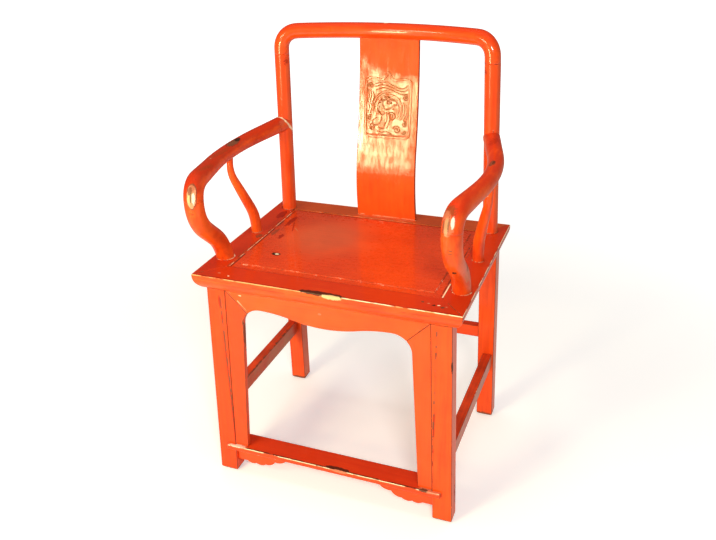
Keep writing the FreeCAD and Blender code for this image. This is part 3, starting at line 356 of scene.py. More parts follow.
def thin_line() -> bpy.types.NodeTree:
    """Builds the group for one thin, partly broken line between two places.

    Returns:
        The node group.
    """
    effect = EffectGroup("ThinLine", {"Place": ORIGIN, "Start": ORIGIN, "End": (1.0, 0.0, 0.0), "Width": 1.0,
                                      "Broken": 0.3, "Grain": 0.12}, ("Mask",))
    graph, given = effect.graph, effect.inside
    run = graph.vector("SUBTRACT", given["End"], given["Start"]).outputs[0]
    offset = graph.vector("SUBTRACT", given["Place"], given["Start"]).outputs[0]
    along = graph.maths("DIVIDE", graph.vector("DOT_PRODUCT", offset, run).outputs["Value"],
                        graph.vector("DOT_PRODUCT", run, run).outputs["Value"])
    along = graph.maths("MINIMUM", graph.maths("MAXIMUM", along, 0.0), 1.0)
    scaled = graph.node("ShaderNodeVectorMath", {0: run, "Scale": along}, operation="SCALE").outputs[0]
    distance = graph.vector("LENGTH", graph.vector("SUBTRACT", offset, scaled).outputs[0]).outputs["Value"]
    distance = graph.plus(distance, graph.swing(graph.noise(given["Place"], 0.4, 2.0), 0.8))
    body = graph.inverse(graph.step(distance, graph.times(given["Width"], 0.35), given["Width"]))
    whole = graph.unbroken(graph.noise(given["Place"], given["Grain"], 3.0, 0.6), given["Broken"])
    return effect.give(Mask=graph.times(body, whole))


def foot_ring() -> bpy.types.NodeTree:
    """Builds the group for a broken line of lost lacquer round the foot of an upright.

    Returns:
        The node group.
    """
    effect = EffectGroup("FootRing", {"Place": ORIGIN, "Centre": ORIGIN, "Radius": 20.0, "Width": 1.5, "Broken": 0.3},
                         ("Mask",))
    graph, given = effect.graph, effect.inside
    offset = graph.vector("SUBTRACT", given["Place"], given["Centre"]).outputs[0]
    flat = graph.vector("MULTIPLY", offset, (1.0, 1.0, 0.0)).outputs[0]
    out = graph.minus(graph.vector("LENGTH", flat).outputs["Value"], given["Radius"])
    up = graph.node("ShaderNodeSeparateXYZ", {0: offset}).outputs[2]
    squares = [graph.times(part, part) for part in (out, up)]
    distance = graph.maths("SQRT", graph.plus(*squares))
    body = graph.inverse(graph.step(distance, graph.times(given["Width"], 0.4), given["Width"]))
    whole = graph.unbroken(graph.noise(given["Place"], 0.16), given["Broken"])
    return effect.give(Mask=graph.times(body, whole))


class Effects:
    """The shared node groups, each built once."""

    def __init__(self) -> None:
        """Builds every group."""
        self.tone = lacquer_tone()
        self.arris = arris_wear()
        self.spot = worn_spot()
        self.line = thin_line()
        self.ring = foot_ring()


@dataclass(frozen=True)
class Surface:
    """The sockets that a mark changes on its way to the shader."""

    color: Socket
    roughness: Socket
    loss: Socket
    gloss: Socket


class Mark:
    """Something that time has done to the lacquer, or a painted highlight or shadow; a shared group says where it
    lies.
    """

    EFFECT: ClassVar[str]
    SOCKETS: ClassVar[tuple[str, ...]]
    ROUGHNESS: ClassVar[float]
    tint: Tint
    strength: float
    rim: Tint | None = None

    def masks(self, graph: Graph, effects: Effects, place: Socket) -> tuple[Socket, Socket | None]:
        """Places the mark's group and fills its sockets from the fields of the same names.

        Args:
            graph: The material's graph.
            effects: The shared groups.
            place: The position in millimetres.

        Returns:
            The mark's mask, and its rim's where the group has one.
        """
        inputs = {"Place": place} | {name.title(): getattr(self, name) for name in self.SOCKETS}
        made = graph.node("ShaderNodeGroup", inputs, node_tree=getattr(effects, self.EFFECT)).outputs
        return graph.times(made["Mask"], self.strength), made.get("Rim")

    def paint(self, graph: Graph, effects: Effects, place: Socket, under: Surface) -> Surface:
        """Lays the mark over a surface.

        Args:
            graph: The material's graph.
            effects: The shared groups.
            place: The position in millimetres.
            under: What the mark covers.

        Returns:
            The surface with the mark.
        """
        mask, rim = self.masks(graph, effects, place)
        color = under.color if self.rim is None else graph.blend(rim, under.color, self.rim.rgba)
        return Surface(graph.blend(mask, color, self.tint.rgba), graph.lerp(mask, under.roughness, self.ROUGHNESS),
                       graph.maths("MAXIMUM", under.loss, mask), under.gloss)


@dataclass(frozen=True)
class Dull(Mark):
    """A patch where the lacquer keeps its colour but has lost its shine."""

    EFFECT = "spot"
    SOCKETS = ("centre", "reach", "ragged", "grain", "soft", "stretch")
    ROUGHNESS = 0.45
    centre: Triple
    reach: Triple
    ragged: float = 0.4
    grain: float = 0.05
    strength: float = 1.0
    soft: float = 0.3
    stretch: Triple = EVEN

    def paint(self, graph: Graph, effects: Effects, place: Socket, under: Surface) -> Surface:
        """Takes the shine off a surface.

        Args:
            graph: The material's graph.
            effects: The shared groups.
            place: The position in millimetres.
            under: What the patch covers.

        Returns:
            The surface with the patch.
        """
        mask, _ = self.masks(graph, effects, place)
        return Surface(under.color, graph.lerp(mask, under.roughness, self.ROUGHNESS), under.loss,
                       graph.times(under.gloss, graph.inverse(mask)))


@dataclass(frozen=True)
class Spot(Mark):
    """A worn, chipped or darkened patch, or a painted highlight."""

    EFFECT = "spot"
    SOCKETS = ("centre", "reach", "ragged", "grain", "soft")
    ROUGHNESS = 0.55
    centre: Triple
    reach: Triple
    tint: Tint
    ragged: float = 0.4
    grain: float = 0.25
    strength: float = 1.0
    rim: Tint | None = None
    soft: float = 0.14


@dataclass(frozen=True)
class Line(Mark):
    """A thin line: an open joint, a scratch, a rubbed edge, or a painted highlight or shadow along an edge or groove.
    """

    EFFECT = "line"
    SOCKETS = ("start", "end", "width", "broken", "grain")
    ROUGHNESS = 0.5
    start: Triple
    end: Triple
    width: float
    tint: Tint
    broken: float = 0.3
    grain: float = 0.12
    strength: float = 1.0


@dataclass(frozen=True)
class Ring(Mark):
    """A broken pale or dark line round an upright's foot."""

    EFFECT = "ring"
    SOCKETS = ("centre", "radius", "width", "broken")
    ROUGHNESS = 0.5
    centre: Triple
    radius: float
    width: float
    tint: Tint
    broken: float = 0.3
    strength: float = 1.0


UPRIGHT_GRAIN: Triple = (0.16, 0.16, 0.006)
SIDEWAYS_GRAIN: Triple = (0.006, 0.16, 0.16)
DEEPWARD_GRAIN: Triple = (0.16, 0.006, 0.16)
BENT_GRAIN: Triple = (0.12, 0.02, 0.04)


@dataclass(frozen=True)
class Lacquer:
    """A lacquer finish: its two tones, its grain direction, its wear and its marks."""

    name: str
    grain: Triple
    light: Triple = (0.92, 0.105, 0.008)
    deep: Triple = (0.66, 0.042, 0.005)
    mottle: float = 0.40
    streaks: float = 0.35
    # How far upward faces are darkened: a painted shade on tops.
    crown: float = 0.25
    dusty: float = 0.15
    brush: float = 0.1
    patchy: float = 0.25
    dark_edges: float = 0.45
    pale_edges: float = 0.15
    roughness: float = 0.32
    coat: float = 0.40
    coat_roughness: float = 0.09
    ripple: float = 0.30
    ripple_height: float = 1.2
    grime: float = 0.0
    specular: float = 0.17
    marks: tuple[Mark, ...] = ()

    def build(self, effects: Effects) -> bpy.types.Material:
        """Makes the material.

        Args:
            effects: The shared groups.

        Returns:
            The material.
        """
        material = bpy.data.materials.new(self.name)
        graph = blank_graph(material)
        coordinates = graph.node("ShaderNodeTexCoord").outputs["Object"]
        place = graph.node("ShaderNodeVectorMath", {0: coordinates, "Scale": 1 / MM}, operation="SCALE").outputs[0]
        tone = graph.node("ShaderNodeGroup", {
            "Place": place, "Facing": graph.node("ShaderNodeNewGeometry").outputs["Normal"],
            "Streak Stretch": self.grain, "Crown": self.crown, "Dusty": self.dusty, "Brush": self.brush,
            "Patchy": self.patchy, "Light": (*self.light, 1.0), "Deep": (*self.deep, 1.0), "Mottle": self.mottle,
            "Streaks": self.streaks}, node_tree=effects.tone).outputs
        arris, grime = (graph.node("ShaderNodeAttribute", attribute_name=name).outputs["Fac"]
                        for name in ("arris", "grime"))
        wear = graph.node("ShaderNodeGroup", {
            "Place": place, "Arris": arris, "Dark Amount": self.dark_edges, "Pale Amount": self.pale_edges},
            node_tree=effects.arris).outputs
        color = graph.blend(wear["Dark"], tone["Color"], Tint.UMBER.rgba)
        color = graph.blend(wear["Pale"], color, Tint.CREAM.rgba)
        # Painted shade and grime on the carving's flanks, from the splat's own attribute.
        color = graph.blend(graph.times(grime, self.grime), color, Tint.OCHRE.rgba)
        roughness = graph.lerp(tone["Haze"], self.roughness - 0.08, self.roughness + 0.12)
        surface = Surface(color, roughness, graph.maths("MAXIMUM", wear["Dark"], wear["Pale"]), tone["Gloss"])
        for mark in self.marks:
            surface = mark.paint(graph, effects, place, surface)
        height = graph.minus(tone["Ripple"], graph.times(surface.loss, 0.4))
        bump = graph.node("ShaderNodeBump", {"Strength": self.ripple, "Distance": self.ripple_height * MM,
                                             "Height": height})
        whole = graph.times(graph.inverse(surface.loss), surface.gloss)
        shader = graph.node("ShaderNodeBsdfPrincipled", {
            "Base Color": surface.color, "Roughness": surface.roughness,
            "Coat Weight": graph.times(whole, self.coat), "Coat Roughness": self.coat_roughness,
            "Specular IOR Level": self.specular, "Normal": bump.outputs[0]})
        graph.node("ShaderNodeOutputMaterial", {"Surface": shader.outputs[0]})
        return material


# Meshes


def linked(name: str, data: bpy.types.ID) -> bpy.types.Object:
    """Adds an object to the scene.

    Args:
        name: Its name.
        data: Its mesh, lamp or camera data.

    Returns:
        The new object.
    """
    made = bpy.data.objects.new(name, data)
    bpy.context.scene.collection.objects.link(made)
    return made


def new_piece(node: str, mesh: bpy.types.Mesh, material: bpy.types.Material,
              look: str = "lacquered") -> bpy.types.Object:
    """Adds a piece that stands for a CAD node.

    Args:
        node: The CAD node.
        mesh: The piece's mesh, in metres in the chair's frame.
        material: Its finish.
        look: The end of the piece's name.

    Returns:
        The new object.
    """
    mesh.materials.clear()
    mesh.materials.append(material)
    piece = linked(f"{node}_{look}", mesh)
    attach(piece, BODY)
    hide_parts(node)
    log.info("%s: %d faces", piece.name, len(mesh.polygons))
    return piece


def softened(node: str, width: float) -> bpy.types.Mesh:
    """Copies a CAD node's mesh with its sharp edges rounded over and marked for wear.

    Args:
        node: The CAD node.
        width: How far each rounding reaches into a face, in millimetres.

    Returns:
        The new mesh, with an "arris" value of 1 along the middle of each rounding.
    """
    work = bmesh.new()
    work.from_mesh(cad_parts[node].data)
    bmesh.ops.remove_doubles(work, verts=work.verts, dist=WELD)
    bmesh.ops.dissolve_limit(work, angle_limit=math.radians(FLAT_DEGREES), verts=work.verts, edges=work.edges)
    angle = math.radians(SHARP_DEGREES)
    sharp = [edge for edge in work.edges if edge.is_manifold and edge.calc_face_angle(0.0) > angle]
    made = bmesh.ops.bevel(work, geom=sharp, offset=width * MM, offset_type="OFFSET", segments=2, profile=0.5,
                           affect="EDGES", clamp_overlap=False)
    rounding = set(made["faces"])
    layer = work.verts.layers.float.new("arris")
    for vert in work.verts:
        vert[layer] = 1.0 if vert.link_faces and all(face in rounding for face in vert.link_faces) else 0.0
    mesh = bpy.data.meshes.new(f"{node}_mesh")
    work.to_mesh(mesh)
    work.free()
    smoothed(mesh, 0)
    return mesh


def smoothed(mesh: bpy.types.Mesh, caps: int) -> None:
    """Shades a mesh smoothly, its last few faces flat.

    Args:
        mesh: The mesh.
        caps: How many of the last faces close its ends.
    """
    count = len(mesh.polygons)
    mesh.polygons.foreach_set("use_smooth", [index < count - caps for index in range(count)])


def dressed(node: str, mesh: bpy.types.Mesh, finish: bpy.types.Material) -> None:
    """Adds a sawn piece and keeps its flat faces flat in their shading beside the rounded edges.

    Args:
        node: The CAD node.
        mesh: The piece's mesh.
        finish: Its finish.
    """
    weighted = new_piece(node, mesh, finish).modifiers.new("even_normals", "WEIGHTED_NORMAL")
    weighted.weight = 80
    weighted.keep_sharp = True


def rounded_route(points: list[Triple], bends: list[float]) -> np.ndarray:
    """Samples straight runs joined by arcs.

    Args:
        points: Corners of the route.
        bends: One bend radius for each inner corner.

    Returns:
        The sampled places, one row each.
    """
    corners = [np.array(point, float) for point in points]
    samples = [corners[0]]
    for index, bend in enumerate(bends, start=1):
        before, corner, after = corners[index - 1:index + 2]
        incoming = (before - corner) / np.linalg.norm(before - corner)
        outgoing = (after - corner) / np.linalg.norm(after - corner)
        turn = math.pi - math.acos(float(np.clip(incoming @ outgoing, -1, 1)))
        room = min(np.linalg.norm(before - corner) * (END_RUN_SHARE if index == 1 else INNER_RUN_SHARE),
                   np.linalg.norm(after - corner) * (END_RUN_SHARE if index == len(bends) else INNER_RUN_SHARE))
        reach = min(bend * math.tan(turn / 2), room)
        middle = (incoming + outgoing) / np.linalg.norm(incoming + outgoing)
        radius = reach / math.tan(turn / 2)
        centre = corner + middle * radius / math.cos(turn / 2)
        start, end = corner + incoming * reach - centre, corner + outgoing * reach - centre
        count = max(3, math.ceil(math.degrees(turn) / ARC_STEP_DEGREES))
        for step in range(count + 1):
            share = step / count
            spread = (math.sin((1 - share) * turn) * start + math.sin(share * turn) * end) / math.sin(turn)
            samples.append(centre + spread)
    samples.append(corners[-1])
    return np.array(samples)


def run_lengths(line: np.ndarray) -> np.ndarray:
    """Gives the length of a line up to each of its places."""
    return np.concatenate([[0.0], np.cumsum(np.linalg.norm(np.diff(line, axis=0), axis=1))])


def resampled(line: np.ndarray, spacing: float) -> np.ndarray:
    """Spaces a line's places evenly.

    Args:
        line: The places, one row each.
        spacing: About how far apart, in millimetres.

    Returns:
        The evenly spaced places.
    """
    lengths = run_lengths(line)
    count = max(2, int(lengths[-1] / spacing) + 1)
    wanted = np.linspace(0.0, lengths[-1], count)
    return np.stack([np.interp(wanted, lengths, line[:, axis]) for axis in range(3)], axis=1)


def eased(line: np.ndarray, passes: int) -> np.ndarray:
    """Evens out a line's curvature and keeps its ends.

    Args:
        line: The places, one row each.
        passes: How often the places move to their neighbours' mean.

    Returns:
        The eased line.
    """
    line = line.copy()
    for _ in range(passes):
        line[1:-1] = line[1:-1] * 0.5 + (line[:-2] + line[2:]) * 0.25
    return line


def directions(line: np.ndarray) -> np.ndarray:
    """Gives a line's unit directions, one row each."""
    ahead = np.gradient(line, axis=0)
    return ahead / np.linalg.norm(ahead, axis=1)[:, None]


def skinned(name: str, rings: np.ndarray) -> bpy.types.Mesh:
    """Skins a stack of rings and closes its two ends.

    Args:
        name: The mesh's name.
        rings: Each ring's places, in millimetres.

    Returns:
        The mesh, in metres, with flat ends.
    """
    rows, sides = rings.shape[:2]
    faces = [(row * sides + k, row * sides + (k + 1) % sides, (row + 1) * sides + (k + 1) % sides,
              (row + 1) * sides + k) for row in range(rows - 1) for k in range(sides)]
    faces += [tuple(reversed(range(sides))), tuple(range((rows - 1) * sides, rows * sides))]
    mesh = bpy.data.meshes.new(f"{name}_mesh")
    mesh.from_pydata((rings.reshape(-1, 3) * MM).tolist(), [], faces)
    mesh.update()
    smoothed(mesh, 2)
    return mesh


def round_bar(name: str, line: np.ndarray, radii: np.ndarray, sides: int = 40,
              tangents: np.ndarray | None = None) -> bpy.types.Mesh:
    """Builds a closed round bar along a line.

    Args:
        name: The mesh's name.
        line: Places on the axis, in millimetres, one row each.
        radii: The bar's radius at each place.
        sides: Faces round the bar.
        tangents: The axis directions, where the line is part of a longer one.

    Returns:
        The mesh, in metres.
    """
    tangents = directions(line) if tangents is None else tangents
    helper = np.array([1.0, 0.0, 0.0]) if abs(tangents[0][0]) < 0.8 else np.array([0.0, 0.0, 1.0])
    across = np.cross(tangents[0], helper)
    across /= np.linalg.norm(across)
    angles = np.linspace(0, 2 * math.pi, sides, endpoint=False)
    rings = []
    for spot, tangent, radius in zip(line, tangents, radii):
        across = across - tangent * (across @ tangent)
        across /= np.linalg.norm(across)
        other = np.cross(tangent, across)
        rings.append(spot + radius * (np.cos(angles)[:, None] * across + np.sin(angles)[:, None] * other))
    return skinned(name, np.array(rings))


def mirrored_places(line: np.ndarray, side: Side) -> np.ndarray:
    """Gives a right-hand line, or its image for the left."""
    return line * np.array([side.value, 1.0, 1.0])


def radius_along(line: np.ndarray, stations: list[tuple[float, float]]) -> np.ndarray:
    """Spreads radii smoothly along a line.

    Args:
        line: The places, one row each.
        stations: Pairs of a share of the length and a radius.

    Returns:
        One radius for each place.
    """
    lengths = run_lengths(line)
    shares, radii = zip(*stations)
    return np.interp(lengths / lengths[-1], shares, radii)


# Sub-assemblies


def shoulder_marks(side: Side) -> tuple[Mark, ...]:
    """Draws where an arm's end is scribed round the front of its post: on the left a painted highlight along the seam,
    on the right the open joint.

    Args:
        side: Which arm.

    Returns:
        Short lines that fall from the arm's upper edge to the post's inner side.
    """
    if side is Side.LEFT:
        places = ((-259.8, 156, 760.6), (-250, 155.8, 759.8), (-241.2, 157.2, 752.8), (-237.2, 162.7, 744.8),
                  (-235.6, 169.6, 737.2), (-233.8, 177.5, 728))
        # A painted highlight along the seam of the arm's end against the post.
        return tuple(Line(start, stop, 3.7, Tint.CREAM, 0.02) for start, stop in zip(places, places[1:]))
    return (Line((234.1, 168, 768), (257.8, 161.3, 768), 2.4, Tint.ROSE, 0.42, 0.2),
            Line((235, 168, 764), (260, 160, 764.5), 2.2, Tint.UMBER, 0.45, 0.2, 0.8))


@dataclass
class Seat:
    """The mitred seat frame, its floating panel and the battens below."""

    effects: Effects
    width: float = 590.0
    depth: float = 460.0
    top: float = 523.0
    rounding: float = 1.3
    panel_rounding: float = 0.7
    batten_rounding: float = 0.9

    def front_marks(self) -> tuple[Mark, ...]:
        """Lists what time has done to the front rail, and a painted highlight along its front top edge."""
        edge = -self.depth / 2
        half = self.width / 2
        speckles = tuple(Spot((x, y, self.top), (r, r * 0.7, 2), tint, 0.8, 0.5)
                         for x, y, r, tint in ((206, -196, 3.4, Tint.UMBER), (219, -199, 3.2, Tint.ROSE),
                                               (231, -203, 4, Tint.DARK), (240, -201, 3, Tint.CREAM),
                                               (249, -207, 4.2, Tint.UMBER), (256, -203, 2.6, Tint.ROSE),
                                               (-240, -206, 3.5, Tint.ROSE), (-214, -213, 2.6, Tint.CREAM)))
        return (
            Line((-half, edge + 3.6, self.top), (half, edge + 3.6, self.top), 2.4, Tint.CLARET, 0.30, 0.03, 0.8),
            # Painted highlight along the lit front top edge.
            Line((-half, edge + 0.4, self.top - 0.6), (half, edge + 0.4, self.top - 0.6), 1.5, Tint.HIGHLIGHT_AMBER, 0.26, 0.02),
            Line((-40, edge + 0.4, self.top - 0.6), (half, edge + 0.4, self.top - 0.6), 1.3, Tint.CREAM, 0.48, 0.03),
            Spot((4, edge + 4, self.top), (52, 8.5, 5), Tint.DARK, 0.45, 0.10, 0.92),
            Spot((28, edge, self.top - 3), (24, 5, 5.5), Tint.WOOD, 0.5, 0.12),
            Line((-150, edge + 0.5, self.top - 11), (230, edge + 0.5, self.top - 11), 1.6, Tint.CLARET,
                 0.35, 0.02, 0.5),
            *speckles,
        )

    def end_marks(self, side: Side) -> tuple[Mark, ...]:
        """Lists what time has done to one end rail.

        Args:
            side: Which end rail.

        Returns:
            Its marks.
        """
        edge = side.value * self.width / 2
        front, back = -self.depth / 2, self.depth / 2
        marks: tuple[Mark, ...] = (
            Line((edge, front, self.top - 0.5), (edge, back, self.top - 0.5), 1.4, Tint.CREAM, 0.40, 0.03),
            Line((edge, front, self.top - 5.5), (edge, back, self.top - 5.5), 2.2, Tint.DARK, 0.35, 0.03, 0.8),
            Ring((side.value * 267.6, -129, self.top), 19.8, 1.5, Tint.CREAM, 0.50),
            Ring((side.value * 266.5, 18, self.top), 12.9, 1.3, Tint.ROSE, 0.45),
            Ring((side.value * 257.4, 179.6, self.top), 18.2, 1.6, Tint.CLARET, 0.25),
        )
        if side is Side.LEFT:
            marks += (Spot((-255, 128, self.top), (10, 26, 3), Tint.CLARET, 0.7, 0.12, 0.8),
                      Spot((-249, -6, self.top), (7, 14, 3), Tint.UMBER, 0.8, 0.2, 0.7))
        return marks

    def panel_marks(self) -> tuple[Mark, ...]:
        """Lists what time has done to the seat panel, and the painted shadows and highlights of its side grooves."""
        top, margin = self.top, self.top - 2
        half_x, half_y = 219.4, 151.4
        field_edges = tuple(
            Line(start, end, 1.5, tint, broken, 0.05, 0.8)
            for start, end, tint, broken in (
                ((-half_x, -half_y, top), (half_x, -half_y, top), Tint.ROSE, 0.55),
                ((-half_x, -half_y, top), (-half_x, half_y, top), Tint.CLARET, 0.30),
                ((-half_x, half_y, top), (half_x, half_y, top), Tint.CLARET, 0.35),
                ((half_x, -half_y, top), (half_x, half_y, top), Tint.ROSE, 0.5)))
        return (
            Spot((-92, 36, top), (150, 150, 4), Tint.TAN, 0.2, 0.015, 0.20, None, 0.8),
            *field_edges,
            # Painted light in the side grooves: the cream lines are painted highlights along their edges, the dark
            # lines painted shadows in them.
            Line((-238.4, -165, margin), (-238.4, 150, margin), 1.6, Tint.CREAM, 0.50, 0.04, 0.8),
            Line((-234.6, -165, margin), (-234.6, 168, margin), 2.6, Tint.DARK, 0.36, 0.03, 0.85),
            Line((237.6, -164, margin), (237.6, -104, margin), 1.9, Tint.CREAM, 0.10, 0.03),
            Line((233.6, -160, margin), (233.6, 110, margin), 2.2, Tint.DARK, 0.40, 0.03, 0.7),
            Line((-230, 169, margin), (230, 169, margin), 2.8, Tint.CLARET, 0.28, 0.03, 0.9),
            Line((-238, -169.5, margin), (238, -169.5, margin), 1.9, Tint.CLARET, 0.34, 0.03, 0.8),
            Spot((-165.7, -84.6, top), (11, 7.5, 3), Tint.DARK, 0.4, 0.3),
            Spot((-163.5, -84, top), (5.6, 3.4, 3), Tint.CREAM, 0.4, 0.3),
            Spot((-214.5, 96, top), (9, 30, 4), Tint.CLARET, 0.8, 0.10, 0.8),
            Line((-206, 100, top), (-186, 44, top), 2, Tint.CLARET, 0.3, 0.06, 0.8),
            Line((-186, 60, top), (-172, 46, top), 1.8, Tint.ROSE, 0.2, 0.1),
            Spot((-198, 8, top), (6, 14, 3), Tint.CLARET, 0.8, 0.2, 0.8),
            Spot((-224, 30, margin), (7, 20, 4), Tint.UMBER, 0.8, 0.14, 0.6),
        )

    def build(self) -> None:
        """Dresses the seat's nodes."""
        tones = {"light": (0.92, 0.105, 0.008), "deep": (0.58, 0.034, 0.005), "crown": 0.42}
        front = Lacquer("SeatFrontLacquer", SIDEWAYS_GRAIN, **tones, mottle=0.6, streaks=0.7, dark_edges=0.45,
                        pale_edges=0.08, marks=self.front_marks()).build(self.effects)
        foot = Line((-74, 188, self.top), (74, 188, self.top), 1.6, Tint.CREAM, 0.40, 0.05)
        back = Lacquer("SeatBackLacquer", SIDEWAYS_GRAIN, light=(0.78, 0.130, 0.022), deep=(0.48, 0.055, 0.010),
                       crown=0.2, dark_edges=0.55, pale_edges=0.2, marks=(foot,)).build(self.effects)
        panel = Lacquer("SeatPanelLacquer", SIDEWAYS_GRAIN, light=(0.75, 0.064, 0.009), deep=(0.54, 0.034, 0.006),
                        mottle=0.6, streaks=0.4, crown=0.0, roughness=0.26, coat=0.65, ripple=0.05, patchy=0.1,
                        dark_edges=0.5, pale_edges=0.35, marks=self.panel_marks()).build(self.effects)
        under = Lacquer("BattenLacquer", DEEPWARD_GRAIN, **tones, dark_edges=0.6, coat=0.2,
                        roughness=0.42).build(self.effects)
        pieces = [("seat_front_rail", front, self.rounding), ("seat_back_rail", back, self.rounding),
                  ("seat_panel", panel, self.panel_rounding)]
        for side in Side:
            end = Lacquer(f"SeatEndLacquer_{side.label}", DEEPWARD_GRAIN, **tones, mottle=0.6, dark_edges=0.5,
                          pale_edges=0.10, marks=self.end_marks(side)).build(self.effects)
            pieces += [(f"seat_end_rail_{side.label}", end, self.rounding),
                       (f"seat_batten_{side.label}", under, self.batten_rounding)]
        for node, finish, rounding in pieces:
            dressed(node, softened(node, rounding), finish)


@dataclass
class Base:
    """Legs, stretchers, the front arch, the footrest and its apron."""

    effects: Effects
    rounding: float = 1.6
    apron_rounding: float = 0.8
    post_low: Triple = (258.5, 180.0, 486.5)
    post_high: Triple = (244.7, 174.6, 958.0)
    post_radius: float = 17.2
    post_sides: int = 64
    post_cut: float = 500.0
    post_top: float = 908.0

    def post_place(self, height: float) -> np.ndarray:
        """Gives the right post's axis at a height."""
        low, high = np.array(self.post_low), np.array(self.post_high)
        return low + (high - low) * (height - low[2]) / (high[2] - low[2])

    def rear_leg(self, side: Side) -> bpy.types.Mesh:
        """Keeps a rear leg up to the middle of the seat frame and stands its post on it as a round bar.

        Args:
            side: Which rear leg.

        Returns:
            The mesh of both.
        """
        node = f"rear_leg_{side.label}"
        leg = softened(node, self.rounding)
        work = bmesh.new()
        work.from_mesh(leg)
        everything = work.verts[:] + work.edges[:] + work.faces[:]
        cut = bmesh.ops.bisect_plane(work, geom=everything, dist=1e-6, plane_co=(0, 0, self.post_cut * MM),
                                     plane_no=(0, 0, 1), clear_outer=True)
        rim = [part for part in cut["geom_cut"] if isinstance(part, bmesh.types.BMEdge)]
        bmesh.ops.contextual_create(work, geom=rim)
        line = np.array([self.post_place(height) for height in (self.post_cut - 5.0, self.post_top)])
        bar = round_bar(f"{node}_post", mirrored_places(line, side), np.full(2, self.post_radius),
                        self.post_sides)
        bar.attributes.new("arris", "FLOAT", "POINT")
        work.from_mesh(bar)
        work.to_mesh(leg)
        work.free()
        bpy.data.meshes.remove(bar)
        return leg

    def rear_marks(self, side: Side) -> tuple[Mark, ...]:
        """Lists what time has done to one rear leg, and the lines where its arm meets it.

        Args:
            side: Which rear leg.

        Returns:
            Its marks.
        """
        foot = tuple(mirrored_places(self.post_place(523.5), side))
        return shoulder_marks(side) + (
            Ring(foot, self.post_radius + 0.6, 1.6, Tint.ROSE, 0.42),
            Spot((side.value * 262, 182, 4), (32, 32, 7), Tint.UMBER, 0.8, 0.2, 0.8),
            Spot((side.value * 236, 170, 893), (6, 9, 12), Tint.CLARET, 0.9, 0.25, 0.7),
            Spot((side.value * 262, 160, 330), (30, 6, 4), Tint.CLARET, 0.9, 0.2, 0.6),
            Spot((side.value * 262, 160, 192), (30, 8, 5), Tint.UMBER, 0.9, 0.2, 0.6),
        )

    def leg_marks(self, side: Side) -> tuple[Mark, ...]:
        """Lists what time has done to one front leg.

        Args:
            side: Which front leg.

        Returns:
            Its marks.
        """
        inner = side.value * 240.4
        marks: tuple[Mark, ...] = (
            Line((inner, -214, 430), (side.value * 238.6, -222.5, 92), 3.2, Tint.CLARET,
                 0.34 if side is Side.LEFT else 0.55, 0.03, 0.8),
            Line((inner, -214, 470), (side.value * 236.6, -223, 84), 2.9, Tint.UMBER,
                 0.44 if side is Side.LEFT else 0.58, 0.05, 0.85),
            Spot((side.value * 250, -226, 2), (36, 24, 5), Tint.UMBER, 0.8, 0.2, 0.8),
        )
        if side is Side.LEFT:
            return marks + (Spot((-243, -214, 456), (3, 4, 16), Tint.CLARET, 0.6, 0.2, 0.7),)
        return marks + (
            Spot((274.5, -215, 396), (3.4, 5, 15), Tint.DARK, 0.5, 0.2),
            Spot((283, -190, 60), (8, 14, 30), Tint.CLARET, 0.8, 0.08, 0.7),
            Line((278, -218, 20), (271.5, -213.5, 480), 1.6, Tint.UMBER, 0.45, 0.02, 0.8),
        )

    def arch_marks(self) -> tuple[Mark, ...]:
        """Lists the open joints and rubbed edges of the arch."""
        return (
            Line((-217.5, -213, 483.7), (-200, -214, 466.3), 1.5, Tint.ROSE, 0.50, 0.09),
            Line((-199, -213.8, 465.3), (-178, -215, 444.5), 2.1, Tint.CREAM, 0.30, 0.09),
            Line((217, -213, 483), (180, -215, 446), 1.4, Tint.CLARET, 0.40, 0.05, 0.7),
            Line((-227, -214, 470), (-226, -216, 380), 1.7, Tint.CLARET, 0.40, 0.05, 0.6),
            Line((-120, -213, 472), (60, -213, 474), 1.3, Tint.CLARET, 0.50, 0.03, 0.5),
            Spot((-192, -213, 479), (3.6, 4, 1.6), Tint.CREAM, 0.5, 0.3, 0.7),
            Spot((-8, -213, 466), (4, 4, 2.6), Tint.ROSE, 0.5, 0.3, 0.8),
            Spot((-192, -206, 395), (2.6, 10, 60), Tint.UMBER, 0.8, 0.10, 0.8),
        )

    def footrest_marks(self) -> tuple[Mark, ...]:
        """Lists what feet have done to the footrest."""
        return (
            Line((-236, -229, 80), (236, -229, 80), 2.4, Tint.DARK, 0.34, 0.03, 0.85),
            Line((-256, -231.4, 79.2), (256, -231.4, 79.2), 1.5, Tint.CREAM, 0.42, 0.02),
            Spot((20, -226.5, 80), (34, 6.5, 4), Tint.DARK, 0.5, 0.10, 0.9),
            Spot((26, -231.5, 78), (22, 3.6, 4), Tint.ROSE, 0.5, 0.12),
            Spot((-234, -226, 80), (30, 9, 5), Tint.ROSE, 0.5, 0.12, 0.85),
            Spot((-234, -228, 80), (22, 6, 4), Tint.PALE_WEAR_AND_HIGHLIGHT, 0.75, 0.25, 0.7),
            Spot((234, -226, 79), (27, 10, 5), Tint.ROSE, 0.5, 0.12, 0.8),
            Spot((222, -229, 79), (10, 5, 4), Tint.DARK, 0.7, 0.2, 0.8),
            Line((-220, -178, 80), (225, -178, 80), 2.2, Tint.DARK, 0.35, 0.03, 0.8),
        )

